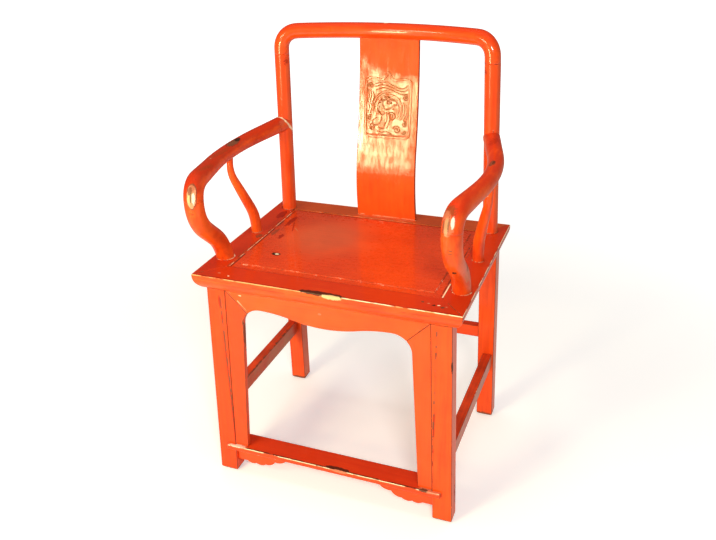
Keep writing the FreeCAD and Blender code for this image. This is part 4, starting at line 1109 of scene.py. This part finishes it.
    def build(self) -> None:
        """Dresses the base's nodes."""
        upright = {"streaks": 0.8, "dark_edges": 0.75, "pale_edges": 0.05, "coat": 0.32}
        arch = Lacquer("ArchHeadLacquer", SIDEWAYS_GRAIN, dark_edges=0.58, pale_edges=0.1,
                       marks=self.arch_marks()).build(self.effects)
        worn = {"light": (0.90, 0.080, 0.012), "deep": (0.40, 0.036, 0.012), "mottle": 0.8, "streaks": 0.7,
                "crown": 0.1, "dusty": 0.75, "dark_edges": 0.6, "pale_edges": 0.25, "roughness": 0.36, "coat": 0.35}
        worn_line = Line((-256.5, -170, 193.5), (-259.5, 120, 193.5), 4.2, Tint.UMBER, 0.52, 0.10, 0.9)
        side_bar = Lacquer("SideStretcherLacquer", DEEPWARD_GRAIN, **worn, marks=(worn_line,)).build(self.effects)
        rear_bar = Lacquer("RearStretcherLacquer", SIDEWAYS_GRAIN, light=(0.88, 0.085, 0.012),
                           dark_edges=0.6).build(self.effects)
        footrest = Lacquer("FootrestLacquer", SIDEWAYS_GRAIN, light=(0.88, 0.075, 0.008), deep=(0.62, 0.034, 0.006),
                           crown=0.25, dark_edges=0.6, pale_edges=0.3, marks=self.footrest_marks()).build(self.effects)
        apron = Lacquer("FootrestApronLacquer", SIDEWAYS_GRAIN, light=(0.88, 0.085, 0.012),
                        dark_edges=0.55).build(self.effects)
        plain = [("front_apron_head", arch), ("rear_stretcher", rear_bar), ("footrest", footrest),
                 ("footrest_apron", apron)]
        for side in Side:
            # The left copies get a darker, redder tone than the right: painted shade on the left leg and arch side.
            light = (0.90, 0.066, 0.003) if side is Side.LEFT else (0.92, 0.096, 0.008)
            leg = Lacquer(f"FrontLegLacquer_{side.label}", UPRIGHT_GRAIN, light=light, **upright,
                          marks=self.leg_marks(side)).build(self.effects)
            arch_side = Lacquer(f"ArchSideLacquer_{side.label}", UPRIGHT_GRAIN, light=light, dark_edges=0.75,
                                pale_edges=0.15, marks=self.arch_marks()).build(self.effects)
            plain += [(f"front_leg_{side.label}", leg), (f"front_apron_side_{side.label}", arch_side),
                      (f"side_stretcher_{side.label}", side_bar)]
            rear = Lacquer(f"RearLegLacquer_{side.label}", UPRIGHT_GRAIN, light=(0.92, 0.095, 0.012), **upright,
                           dusty=0.35, marks=self.rear_marks(side)).build(self.effects)
            dressed(f"rear_leg_{side.label}", self.rear_leg(side), rear)
        for node, finish in plain:
            dressed(node, softened(node, self.apron_rounding if node == "footrest_apron" else self.rounding), finish)


@dataclass
class Arms:
    """Arm rails, goosenecks and side spindles, bent from round stock."""

    effects: Effects
    corners: list[Triple] = field(default_factory=lambda: [
        (267.6, -129.0, 523.0), (267.6, -146.0, 570.0), (268.4, -225.0, 641.0), (267.6, -224.0, 723.5),
        (296.2, -60.0, 729.0), (292.4, 40.0, 733.0), (250.9, 177.1, 745.5)])
    bends: list[float] = field(default_factory=lambda: [98.0, 89.0, 34.0, 450.0, 360.0])
    joint_height: float = 687.0
    spindle_corners: list[Triple] = field(default_factory=lambda: [
        (266.5, 18.0, 523.0), (266.5, 13.5, 569.0), (294.0, -31.0, 683.0), (293.5, -21.0, 731.0)])
    spindle_bends: list[float] = field(default_factory=lambda: [118.0, 69.0])
    arm_end_radius: float = 18.7
    end_round: float = 1.5
    lap: float = 6.0
    joint_front: float = -180.0
    joint_overlap: int = 3
    socket_step: float = 0.8
    spacing: float = 3.0
    easing: int = 18
    spindle_spacing: float = 2.5
    spindle_easing: int = 10

    def knuckle_marks(self, side: Side) -> tuple[Mark, ...]:
        """Lists the patches rubbed bare where a hand rests, across the arm and the gooseneck below it, with a painted
        highlight in each.

        Args:
            side: Which arm.

        Returns:
            Its marks.
        """
        if side is Side.LEFT:
            return (
                Spot((-262.5, -238, 706), (9.5, 16, 28), Tint.PEACH, 0.22, 0.12, 0.95, Tint.UMBER),
                Spot((-266.5, -240, 699), (4.2, 10, 13), Tint.WOOD, 0.55, 0.40, 0.85),
                Spot((-262.3, -241, 708), (2.6, 10, 19), Tint.TAN, 0.7, 0.40, 0.95),
                Spot((-262.8, -241, 702), (1.6, 10, 11), Tint.UMBER, 0.6, 0.50, 0.8),
                # Painted highlight: a pale streak of glint down the knuckle.
                Spot((-257.6, -243, 704), (3.4, 9, 16), Tint.PALE_WEAR_AND_HIGHLIGHT, 0.4, 0.3, 0.95),
                Spot((-265.5, -238, 716), (4.6, 9, 9), Tint.UMBER, 0.6, 0.45, 0.8),
                Spot((-262, -234, 723), (6.5, 9, 12), Tint.BROWN, 0.8, 0.60, 0.6),
                Spot((-261, -222, 737.5), (2.6, 8, 4.5), Tint.DARK, 0.5, 0.3),
            )
        return (
            Spot((262, -224, 728), (13, 14, 15), Tint.BROWN, 1.1, 0.45, 0.8),
            Spot((258, -228, 722), (9, 12, 10), Tint.ROSE, 0.9, 0.60, 0.6),
            Spot((264.5, -240, 708), (12.5, 12, 21), Tint.ROSE, 0.5, 0.18, 0.65),
            # Painted highlight: a pale streak of glint down the knuckle.
            Spot((272.4, -237, 714), (3.6, 9, 12), Tint.PALE_WEAR_AND_HIGHLIGHT, 0.45, 0.3, 0.9),
            Spot((261, -243, 697), (4, 9, 8), Tint.PEACH, 0.5, 0.35, 0.95),
            Spot((261, -240, 711), (5, 10, 14), Tint.TAN, 0.9, 0.45, 0.8),
            Spot((265.5, -240, 708), (2, 10, 16), Tint.UMBER, 0.6, 0.45, 0.7),
            Spot((255, -239, 708), (2.2, 10, 17), Tint.UMBER, 0.6, 0.45, 0.7),
        )

    def arm_marks(self, side: Side) -> tuple[Mark, ...]:
        """Lists what hands have done to one arm, and painted highlights on its knuckle and, on the left, at its
        shoulder.

        Args:
            side: Which arm.

        Returns:
            Its marks.
        """
        common = self.knuckle_marks(side) + shoulder_marks(side)
        if side is Side.LEFT:
            return common + (
                Spot((-289, -12, 747), (8.5, 26, 7), Tint.UMBER, 0.45, 0.22, 0.95, Tint.CLARET),
                Spot((-289, 8, 748), (6, 11, 6), Tint.DARK, 0.55, 0.3),
                Line((-283, -122, 746), (-280, -104, 747), 1.8, Tint.CREAM, 0.42, 0.2, 0.8),
                Line((-277, -118, 746), (-275, -106, 746.5), 1.6, Tint.UMBER, 0.40, 0.2, 0.8),
                Spot((-246, 146, 750), (7, 9, 9), Tint.ROSE, 0.75, 0.5, 0.30),
                Spot((-252, 141, 742), (9, 12, 12), Tint.CLARET, 0.8, 0.4, 0.6),
                Spot((-268, -172, 738), (5, 34, 8), Tint.BROWN, 1, 0.35, 0.45),
                Spot((-284, -80, 745), (5, 48, 6), Tint.BROWN, 1, 0.30, 0.40),
            )
        return common + (
            Spot((289.5, 1.5, 748.5), (6.5, 17, 7), Tint.UMBER, 0.35, 0.3, 0.8),
            Spot((292, 6, 748.5), (3.2, 9, 6), Tint.DARK, 0.5, 0.3, 0.7),
            Spot((268, 120, 752), (10, 26, 9), Tint.CLARET, 0.7, 0.25, 0.45),
            Line((262, 130, 761), (270, 96, 758), 1.8, Tint.ROSE, 0.45, 0.15, 0.7),
        )

    def neck_marks(self, side: Side) -> tuple[Mark, ...]:
        """Lists the marks on one gooseneck.

        Args:
            side: Which gooseneck.

        Returns:
            Its marks.
        """
        marks: tuple[Mark, ...] = self.knuckle_marks(side) + (
            Ring((side.value * 267.6, -129.5, 524), 19.3, 1.6, Tint.ROSE, 0.45),
        )
        if side is Side.LEFT:
            return marks + (Spot((-262, -241, 668), (3, 8, 2), Tint.CLARET, 0.5, 0.3, 0.5),)
        return marks + (
            Spot((269, -244, 661), (6, 6, 1.3), Tint.UMBER, 0.35, 0.4),
            Spot((268, -243.5, 654), (7.5, 6, 1.2), Tint.UMBER, 0.35, 0.4),
            Spot((270.5, -208, 601), (4.5, 8, 4.5), Tint.DARK, 0.4, 0.25),
            Spot((285, -160, 585), (4.5, 22, 38), Tint.ROSE, 0.7, 0.10, 0.6),
            Spot((284, -172, 605), (6, 9, 17), Tint.BROWN, 0.8, 0.20, 0.7),
        )

    def build(self) -> None:
        """Bends and dresses the arms, goosenecks and spindles."""
        run = np.array(self.corners[-1]) - np.array(self.corners[-2])
        route = self.corners[:-1] + [tuple(np.array(self.corners[-1]) + run / np.linalg.norm(run) * self.lap)]
        whole = eased(resampled(rounded_route(route, self.bends), self.spacing), self.easing)
        joint = int(np.argmax((whole[:, 2] > self.joint_height) & (whole[:, 1] < self.joint_front)))
        neck, arm = whole[:joint + self.joint_overlap], whole[joint:]
        ahead = directions(whole)
        spindle = rounded_route(self.spindle_corners, self.spindle_bends)
        spindle = eased(resampled(spindle, self.spindle_spacing), self.spindle_easing)
        neck_radii = radius_along(neck, [(0.0, 19.2), (0.5, 19.4), (1.0, 20.4)])
        neck_radii[-2:] -= self.socket_step
        arm_radii = radius_along(arm, [(0.0, 20.4), (0.10, 20.6), (0.24, 18.8), (0.45, 17.2), (0.62, 17.0),
                                       (0.85, 18.0), (0.96, self.arm_end_radius), (0.992, self.arm_end_radius),
                                       (1.0, self.arm_end_radius - self.end_round)])
        spindle_radii = radius_along(spindle, [(0.0, 12.2), (0.2, 12.4), (0.55, 10.4), (0.85, 7.4), (1.0, 6.6)])
        for side in Side:
            # The left arm's tops get more painted shade and a darker deep tone than the right's.
            crown, deep = (0.72, (0.50, 0.030, 0.005)) if side is Side.LEFT else (0.36, (0.60, 0.034, 0.005))
            for label, line, along, radii, marks in (
                    ("arm_rail", arm, ahead[joint:], arm_radii, self.arm_marks(side)),
                    ("gooseneck", neck, ahead[:joint + self.joint_overlap], neck_radii, self.neck_marks(side)),
                    ("arm_spindle", spindle, directions(spindle), spindle_radii,
                     (Ring((side.value * 266.5, 18, 524), 12.3, 1.4, Tint.ROSE, 0.4),))):
                node = f"{label}_{side.label}"
                grain = UPRIGHT_GRAIN if label == "arm_spindle" else BENT_GRAIN
                finish = Lacquer(f"{label}_lacquer_{side.label}", grain, deep=deep, mottle=0.9, streaks=0.7,
                                 crown=crown, roughness=0.36, coat=0.30, patchy=0.5, marks=marks)
                mesh = round_bar(node, mirrored_places(line, side), radii, tangents=mirrored_places(along, side))
                new_piece(node, mesh, finish.build(self.effects))


@dataclass
class Crest:
    """The bowed crest rail with its bent-down ends."""

    effects: Effects
    joint: Triple = (246.0, 174.9, 908.0)
    corner: Triple = (244.7, 174.6, 958.0)
    sweep: float = 21.0
    bend: float = 37.0
    radius: float = 17.2
    sides: int = 48
    spacing: float = 3.0
    easing: int = 6

    def build(self) -> None:
        """Bends and dresses the crest rail."""
        angle = math.radians(self.sweep)
        start = np.array(self.corner) + np.array([-math.cos(angle), math.sin(angle), 0.0]) * self.bend
        inner = rounded_route([self.joint, self.corner, tuple(2 * start - np.array(self.corner))], [self.bend])[:-1]
        bow_radius = start[0] / math.sin(angle)
        turns = np.linspace(angle, -angle, 60)
        centre_y = start[1] - bow_radius * math.cos(angle)
        bow = np.stack([bow_radius * np.sin(turns), centre_y + bow_radius * np.cos(turns),
                        np.full(len(turns), start[2])], axis=1)
        left = inner[::-1] * np.array([-1.0, 1.0, 1.0])
        line = eased(resampled(np.concatenate([inner, bow[1:-1], left]), self.spacing), self.easing)
        marks: tuple[Mark, ...] = (
            Ring((245.9, 174.9, 908.5), 17.4, 1.2, Tint.CLARET, 0.45),
            Ring((-245.9, 174.9, 908.5), 17.4, 1.2, Tint.CLARET, 0.62),
            Line((-70, 222, 942), (70, 222, 942), 1.5, Tint.CREAM, 0.5, 0.08),
            Spot((-24, 230, 975), (30, 8, 4), Tint.UMBER, 0.9, 0.15, 0.9),
            Spot((-8, 229, 975), (6, 6, 3), Tint.CREAM, 0.9, 0.3, 0.8),
        )
        finish = Lacquer("CrestLacquer", SIDEWAYS_GRAIN, streaks=0.5, crown=0.4, roughness=0.28, coat=0.9,
                         marks=marks).build(self.effects)
        mesh = round_bar("crest_rail", line, np.full(len(line), self.radius), self.sides)
        new_piece("crest_rail", mesh, finish)


# The carved splat


@dataclass(frozen=True)
class Stroke:
    """One flat-topped ridge of the carving, drawn in the splat's front view."""

    points: tuple[tuple[float, float], ...]
    width: float = 2.0
    height: float = 0.6
    edge: float = 0.9
    closed: bool = False

    def line(self) -> np.ndarray:
        """Gives the stroke's sampled places.

        Returns:
            Places across and up, one row each.
        """
        knots = np.array(self.points, float)
        count = len(knots)
        line = []
        for index in range(count if self.closed else count - 1):
            picks = [(index + k) % count if self.closed else min(max(index + k, 0), count - 1) for k in (-1, 0, 1, 2)]
            p0, p1, p2, p3 = knots[picks]
            for t in np.linspace(0.0, 1.0, 8, endpoint=False):
                line.append(0.5 * (2 * p1 + (p2 - p0) * t + (2 * p0 - 5 * p1 + 4 * p2 - p3) * t ** 2
                                   + (3 * p1 - p0 - 3 * p2 + p3) * t ** 3))
        line.append(knots[0] if self.closed else knots[-1])
        return np.array(line)

    def relief(self, x: np.ndarray, z: np.ndarray) -> np.ndarray:
        """Measures the stroke's height over a field.

        Args:
            x: Places across.
            z: Places up.

        Returns:
            The raised height at each place.
        """
        line = self.line()
        best = np.full(x.shape, 1e9)
        for (ax, az), (bx, bz) in zip(line[:-1], line[1:]):
            run_x, run_z = bx - ax, bz - az
            length = run_x ** 2 + run_z ** 2 + 1e-9
            share = np.clip(((x - ax) * run_x + (z - az) * run_z) / length, 0.0, 1.0)
            best = np.minimum(best, (x - ax - share * run_x) ** 2 + (z - az - share * run_z) ** 2)
        share = np.clip((self.width / 2 - np.sqrt(best)) / self.edge + 0.5, 0.0, 1.0)
        return self.height * share * share * (3 - 2 * share)


def spiral(across: float, up: float, outer: float, turns: float, start: float, hand: int) -> tuple:
    """Draws a spiral from its outer end to its eye.

    Args:
        across: The eye's place across.
        up: The eye's place up.
        outer: The outer radius.
        turns: How many turns it makes.
        start: The outer end's direction, in degrees.
        hand: 1 for counter-clockwise, -1 for clockwise.

    Returns:
        The spiral's places.
    """
    steps = max(6, int(turns * 10))
    places = []
    for step in range(steps + 1):
        share = step / steps
        angle = math.radians(start) + hand * share * turns * 2 * math.pi
        reach = outer * (1 - 0.82 * share)
        places.append((across + reach * math.cos(angle), up + reach * math.sin(angle)))
    return tuple(places)


def arc(across: float, up: float, radius: float, start: float, end: float) -> tuple:
    """Draws an arc between two directions in degrees.

    Args:
        across: The centre's place across.
        up: The centre's place up.
        radius: The radius.
        start: The first direction.
        end: The last direction.

    Returns:
        The arc's places.
    """
    angles = np.radians(np.linspace(start, end, max(3, int(abs(end - start) / 18) + 1)))
    return tuple((across + radius * math.cos(a), up + radius * math.sin(a)) for a in angles)


@dataclass
class Splat:
    """The S-curved back splat with its carved medallion."""

    effects: Effects
    foot_half: float = 74.0
    head_half: float = 70.5
    foot: float = 523.0
    head: float = 958.0
    thickness: float = 11.0
    low_radius: float = 404.0
    low_centre: tuple[float, float] = (589.0, 603.0)
    high_radius: float = 1268.5
    high_centre: tuple[float, float] = (-1041.5, 975.5)
    turn: float = 693.0
    relief_low: float = 714.0
    relief_high: float = 876.0
    relief_half: float = 60.0
    relief_step: float = 0.5
    coarse_step: float = 5.0
    side_rounding: float = 1.6
    foot_tuck: float = 4.0
    head_tuck: float = 8.0
    frame_half: float = 57.0
    frame_low: float = 719.0
    frame_high: float = 851.0
    ground_half: float = 52.5
    ground_low: float = 724.0
    ground_high: float = 847.0
    ground_edge: float = 2.5
    ground_depth: float = 0.3
    pit_depth: float = 1.6
    grime_from: float = 0.15
    grime_span: float = 0.30

    def middle(self, z: np.ndarray) -> tuple[np.ndarray, np.ndarray]:
        """Gives the splat's middle and its slope in side view.

        Args:
            z: Heights.

        Returns:
            The place along Y and its change with height.
        """
        low_y, low_z = self.low_centre
        high_y, high_z = self.high_centre
        low_root = np.sqrt(self.low_radius ** 2 - (np.minimum(z, self.turn + 60) - low_z) ** 2)
        high_root = np.sqrt(self.high_radius ** 2 - (high_z - z) ** 2)
        below = z < self.turn
        return (np.where(below, low_y - low_root, high_y + high_root),
                np.where(below, (z - low_z) / low_root, (high_z - z) / high_root))

    def frame_outline(self, inset: float) -> tuple:
        """Draws the medallion's frame: rounded below, shouldered and pointed above.

        Args:
            inset: How far inside the outer frame the line runs.

        Returns:
            The frame's places.
        """
        half, low, high = self.frame_half - inset, self.frame_low + inset, self.frame_high - inset
        right = [(3.5, high + 14), (9, high + 6), (17, high + 2.5), (28, high + 4), (39, high + 5.5),
                 (half - 8, high + 4), (half - 2, high), (half, high - 8), (half, (low + high) / 2),
                 (half - 0.5, low + 12), (half - 3, low + 4), (half - 11, low)]
        bottom = [(20.0, low - 0.5), (-20.0, low - 0.5)]
        return tuple([(0.0, high + 19.5 - inset * 0.4)] + right + bottom + [(-x, z) for x, z in reversed(right)])

    def strokes(self) -> list[Stroke]:
        """Lists the carving's raised lines: a coiled dragon among clouds and waves, in the old manner.

        Returns:
            The strokes.
        """
        frame_band = [Stroke(self.frame_outline(2.8), 5.0, 0.9, closed=True)]
        body = [Stroke(arc(3, 785, 31, 205, -42), 4.2, 1.0), Stroke(arc(3, 785, 24.5, 190, -30), 1.4, 0.7),
                Stroke(arc(3, 785, 37, 178, 88), 1.5), Stroke(arc(3, 785, 42, 165, 100), 1.4),
                Stroke(arc(4, 785, 37, 26, -40), 1.5), Stroke(arc(4, 785, 42, 18, -36), 1.5),
                Stroke(arc(4, 785, 47, 10, -30), 1.4)]
        head = [Stroke(arc(-6, 797, 15, 200, 30), 2.8, 1.1), Stroke(arc(-4, 796, 9, 230, 10), 2.2, 1.2),
                Stroke(((-20, 788), (-24, 781), (-19, 774), (-12, 771), (-9, 777)), 2.4, 1.1),
                Stroke(((-10, 786), (-3, 783), (6, 787), (13, 793), (22, 796)), 2.6, 1.1),
                Stroke(spiral(2, 799, 6.5, 1.3, -20, 1), 1.5, 1.2),
                Stroke(((8, 806), (16, 803), (24, 805), (30, 811)), 1.6),
                Stroke(((-3, 776), (-1, 766), (-3, 755), (-8, 746)), 2.2),
                Stroke(((5, 776), (6, 765), (4, 753), (-1, 742)), 1.6),
                Stroke(((-14, 766), (-16, 756), (-22, 749), (-30, 746)), 2.0)]
        coils = [Stroke(spiral(across, up, outer, turns, start, hand), width, height)
                 for across, up, outer, turns, start, hand, width, height in (
                     (10, 768, 10.5, 1.6, 150, -1, 1.9, 1.0), (43, 812, 8.0, 1.5, 60, 1, 1.7, 0.9),
                     (23, 739, 9.5, 1.6, 160, -1, 1.8, 1.0), (41, 752, 7.0, 1.4, 100, -1, 1.6, 0.9),
                     (-44, 763, 6.5, 1.4, 60, 1, 1.6, 0.9), (-36, 741, 8.5, 1.5, 30, 1, 1.7, 1.0),
                     (-42, 836, 7.0, 1.4, 200, -1, 1.6, 0.9), (42, 734, 5.5, 1.3, 200, 1, 1.4, 0.8))]
        waves = [Stroke(((-30, 841), (-14, 845), (2, 842), (15, 837), (28, 832), (38, 833), (47, 840)), 1.7),
                 Stroke(((-31, 834), (-14, 839), (2, 836), (16, 831), (29, 826), (40, 827), (49, 834)), 1.6),
                 Stroke(((-29, 827), (-13, 832), (2, 830), (16, 825), (29, 820), (38, 820)), 1.5),
                 Stroke(((-49, 826), (-46, 814), (-49, 802), (-45, 789), (-48, 774)), 1.6),
                 Stroke(((-43, 826), (-40, 814), (-43, 802), (-39, 789), (-42, 774)), 1.6),
                 Stroke(((-37, 824), (-34, 812), (-37, 800), (-33, 789), (-35, 778)), 1.5),
                 Stroke(((-26, 735), (-14, 731), (-2, 734), (10, 729)), 1.5),
                 Stroke(((-20, 728), (-8, 725.5), (6, 727), (18, 726)), 1.3),
                 Stroke(((-24, 764), (-33, 760), (-37, 752)), 1.5),
                 Stroke(((-22, 742), (-15, 739), (-9, 741)), 1.4)]
        return frame_band + body + head + coils + waves

    def carved(self, x: np.ndarray, z: np.ndarray) -> np.ndarray:
        """Measures the carving's height over a field.

        Args:
            x: Places across.
            z: Places up.

        Returns:
            How far each place stands out of the splat's face.
        """
        height = np.zeros(x.shape)
        for stroke in self.strokes():
            height = np.maximum(height, stroke.relief(x, z))
        inside = np.ones(x.shape)
        for distance in (self.ground_half - np.abs(x), z - self.ground_low, self.ground_high - z):
            inside = inside * np.clip(distance / self.ground_edge, 0, 1)
        height = height - self.ground_depth * inside
        for across, up, size in ((-20, 799, 2.2), (-15.5, 806, 2.4), (-6.5, 812.5, 2.3), (2.5, 812, 2.1),
                                 (-19, 777, 2.2), (13, 786, 1.8), (-38, 739, 1.6), (44, 812, 1.5)):
            height -= self.pit_depth * np.clip(1 - ((x - across) ** 2 + (z - up) ** 2) / size ** 2, 0, 1)
        return height

    def grime(self, relief: np.ndarray, x: np.ndarray, rows: np.ndarray) -> np.ndarray:
        """Finds where the carving is darkened, with painted shade and grime: on its steep flanks and one step beside
        them.

        Args:
            relief: The carving's height over the field.
            x: Places across.
            rows: Heights of the rows.

        Returns:
            The darkening's share at each place.
        """
        across = np.gradient(relief, axis=1) / np.gradient(x, axis=1)
        steepness = np.hypot(np.gradient(relief, rows, axis=0), across)
        share = np.clip((steepness - self.grime_from) / self.grime_span, 0.0, 1.0)
        for axis in (0, 1):
            share = np.maximum(share, np.maximum(np.roll(share, 1, axis), np.roll(share, -1, axis)))
        return share

    def rings(self, relief: np.ndarray, x: np.ndarray, rows: np.ndarray, half: np.ndarray) -> np.ndarray:
        """Draws the splat's outline at each row, square to its lean.

        Args:
            relief: The carving's height over the field.
            x: Places across.
            rows: Heights of the rows.
            half: Half the width at each row.

        Returns:
            One ring of places for each row.
        """
        y, slope = self.middle(rows)
        lean = np.arctan(slope)
        face = self.thickness / 2
        out = relief + face
        round_side = [(0.45, 1.0), (0.12, 0.72), (0.0, 0.0), (0.12, -0.72), (0.45, -1.0)]
        back = np.linspace(1, -1, 9) * 0.975
        rings = []
        for row in range(len(rows)):
            ring = [(across, depth) for across, depth in zip(x[row], out[row])]
            ring += [(half[row] - self.side_rounding * inset, face * share) for inset, share in round_side]
            ring += [(across * half[row], -face) for across in back]
            ring += [(-half[row] + self.side_rounding * inset, face * share) for inset, share in reversed(round_side)]
            cos, sin = math.cos(lean[row]), math.sin(lean[row])
            rings.append([(across, y[row] - depth * cos, rows[row] + depth * sin) for across, depth in ring])
        return np.array(rings)

    def marks(self) -> tuple[Mark, ...]:
        """Lists where the splat's shine is lost, and its open foot joint and rubbed edge."""
        return (
            Dull((70, 220, 937), (210, 80, 98), 0.35, 0.08, 0.95, 0.34, (1, 1, 0.35)),
            Dull((0, 190, 575), (400, 90, 58), 0.45, 0.16, 0.95, 0.34, (1, 1, 0.18)),
            Dull((0, 190, 616), (400, 90, 44), 0.45, 0.16, 0.72, 0.34, (1, 1, 0.18)),
            Dull((-64, 200, 846), (24, 60, 56), 0.5, 0.10, 0.62, 0.4, (1, 1, 0.3)),
            Dull((88, 200, 690), (40, 60, 110), 0.6, 0.12, 0.55, 0.4, (1, 1, 0.2)),
            Line((-66, 186, 525.5), (70, 186, 524.5), 1.5, Tint.CREAM, 0.42, 0.05),
            Line((-72, 180, 560), (-71, 205, 930), 1.2, Tint.UMBER, 0.5, 0.02),
        )

    def build(self) -> None:
        """Shapes and dresses the splat."""
        fine = np.arange(-self.relief_half, self.relief_half + 0.01, self.relief_step) / self.foot_half
        outer = np.linspace(self.relief_half, self.foot_half - self.side_rounding, 6)[1:] / self.foot_half
        columns = np.concatenate([-outer[::-1], fine, outer])
        rows = np.concatenate([np.arange(self.foot - self.foot_tuck, self.relief_low, self.coarse_step),
                               np.arange(self.relief_low, self.relief_high, self.relief_step),
                               np.arange(self.relief_high, self.head - self.head_tuck, self.coarse_step)])
        half = np.interp(rows, [self.foot, self.head], [self.foot_half, self.head_half])
        x = columns[None, :] * half[:, None]
        relief = self.carved(x, np.repeat(rows[:, None], len(columns), axis=1))
        mesh = skinned("back_splat", self.rings(relief, x, rows, half))
        size, count = len(mesh.vertices) // len(rows), len(columns)
        arris = np.zeros(size)
        arris[[count + 1, count + 3, size - 2, size - 4]] = 1.0
        grime = np.pad(self.grime(relief, x, rows), ((0, 0), (0, size - count)))
        for name, values in (("arris", np.tile(arris, len(rows))), ("grime", grime.ravel())):
            mesh.attributes.new(name, "FLOAT", "POINT").data.foreach_set("value", values)
        finish = Lacquer("SplatLacquer", UPRIGHT_GRAIN, light=(0.92, 0.104, 0.012), deep=(0.74, 0.058, 0.008),
                         mottle=0.7, streaks=0.5, roughness=0.27, coat=0.95, ripple=0.8, brush=1.3, patchy=0.75,
                         grime=0.85, specular=0.08, dark_edges=0.7, pale_edges=0.1, marks=self.marks())
        new_piece("back_splat", mesh, finish.build(self.effects), "carved")


# Camera, light and floor


@dataclass
class PhotoCamera:
    """The camera that the photograph was taken with, as far as it can be worked out."""

    position: Triple = (580.6, -1472.1, 1253.6)
    target: Triple = (-4.6, 0.0, 467.3)
    roll: float = -1.85
    lens: float = 39.07
    sensor: float = 36.0

    def build(self) -> None:
        """Sets up the scene's camera."""
        data = bpy.data.cameras.new("photo_camera")
        data.lens, data.sensor_width, data.sensor_fit = self.lens, self.sensor, "HORIZONTAL"
        data.clip_start, data.clip_end = 0.05, 50.0
        camera = linked("photo_camera", data)
        forward = (Vector(self.target) - Vector(self.position)).normalized()
        right = forward.cross(Vector((0, 0, 1))).normalized()
        up = right.cross(forward)
        angle = math.radians(self.roll)
        across = right * math.cos(angle) + up * math.sin(angle)
        upward = up * math.cos(angle) - right * math.sin(angle)
        rotation = Matrix((across, upward, -forward)).transposed()
        camera.matrix_world = Matrix.Translation(Vector(self.position) * MM) @ rotation.to_4x4()
        bpy.context.scene.camera = camera


@dataclass(frozen=True)
class Softbox:
    """One rectangular studio lamp aimed at the chair."""

    name: str
    position: Triple
    size: tuple[float, float]
    power: float
    tint: Triple = (1.0, 1.0, 1.0)
    aim: Triple = (0.0, 0.0, 0.5)
    mirrored: bool = True

    def build(self) -> None:
        """Hangs the lamp."""
        data = bpy.data.lights.new(self.name, "AREA")
        data.shape = "RECTANGLE"
        data.size, data.size_y = self.size
        data.energy = self.power
        data.color = self.tint
        lamp = linked(self.name, data)
        lamp.visible_glossy = self.mirrored
        lamp.location = self.position
        lamp.rotation_euler = (Vector(self.aim) - Vector(self.position)).to_track_quat("-Z", "Y").to_euler()


@dataclass
class Studio:
    """Pale floor, even surroundings and soft lamps."""

    lamps: tuple[Softbox, ...] = (
        Softbox("key_softbox", (1.05, -1.95, 1.75), (0.42, 0.42), 29.0, (1.0, 0.96, 0.88)),
        Softbox("window", (-0.68, -1.69, 0.85), (0.40, 0.20), 7.8, (1.0, 0.88, 0.46), (-0.02, 0.2, 0.80)),
        Softbox("window_sill", (-0.68, -1.69, 0.51), (0.40, 0.48), 12.5, (1.0, 0.89, 0.48), (-0.02, 0.2, 0.66)),
        Softbox("window_jamb", (-0.80, -1.66, 0.89), (0.12, 0.12), 1.8, (1.0, 0.93, 0.62), (-0.06, 0.2, 0.75)),
        Softbox("window_head", (-1.02, -1.68, 1.62), (0.80, 0.34), 13.0, (1.0, 0.92, 0.62), (0.06, 0.24, 0.9)),
        Softbox("overhead", (0.0, 0.1, 2.6), (1.8, 1.5), 24.0, (1.0, 0.95, 0.86), mirrored=False),
    )
    surround: float = 0.32
    mirrored: float = 0.10
    floor_size: float = 30.0
    floor_glow: float = 0.30
    fade: tuple[float, float] = (0.6, 2.8)

    def brighten_world(self) -> None:
        """Lights the chair evenly from all round, in a pale warm tone that the lacquer mirrors only weakly."""
        world = bpy.data.worlds.new("pale_surround")
        graph = blank_graph(world)
        path = graph.node("ShaderNodeLightPath").outputs
        unseen = graph.lerp(path["Is Glossy Ray"], self.surround, self.mirrored)
        strength = graph.lerp(path["Is Camera Ray"], unseen, 1.0)
        hue = graph.blend(path["Is Camera Ray"], (1.0, 0.95, 0.86, 1.0), WHITE)
        background = graph.node("ShaderNodeBackground", {"Color": hue, "Strength": strength})
        graph.node("ShaderNodeOutputWorld", {"Surface": background.outputs[0]})
        bpy.context.scene.world = world

    def lay_floor(self) -> None:
        """Lays a pale floor that fades to white away from the chair."""
        half = self.floor_size / 2
        mesh = bpy.data.meshes.new("floor_mesh")
        mesh.from_pydata([(-half, -half, 0), (half, -half, 0), (half, half, 0), (-half, half, 0)], [], [(0, 1, 2, 3)])
        floor = linked("floor", mesh)
        material = bpy.data.materials.new("PaleFloor")
        graph = blank_graph(material)
        path = graph.node("ShaderNodeLightPath").outputs
        place = graph.node("ShaderNodeTexCoord").outputs["Object"]
        far = graph.step(graph.vector("LENGTH", place).outputs["Value"], *self.fade)
        glow = graph.times(path["Is Camera Ray"], graph.lerp(far, self.floor_glow, 1.0))
        shader = graph.node("ShaderNodeBsdfPrincipled", {
            "Base Color": (0.85, 0.86, 0.89, 1.0), "Roughness": 0.85, "Specular IOR Level": 0.1,
            "Emission Color": WHITE, "Emission Strength": glow})
        graph.node("ShaderNodeOutputMaterial", {"Surface": shader.outputs[0]})
        mesh.materials.append(material)

    def build(self) -> None:
        """Sets up world, floor and lamps."""
        self.brighten_world()
        self.lay_floor()
        for lamp in self.lamps:
            lamp.build()
        bpy.context.scene.view_settings.view_transform = "Standard"


def main() -> None:
    """Builds the scene piece by piece."""
    logging.basicConfig(level=logging.INFO, format="%(name)s %(message)s")
    PhotoCamera().build()
    Studio().build()
    effects = Effects()
    for assembly in (Seat(effects), Base(effects), Arms(effects), Crest(effects), Splat(effects)):
        assembly.build()


if __name__ == "__main__":
    main()
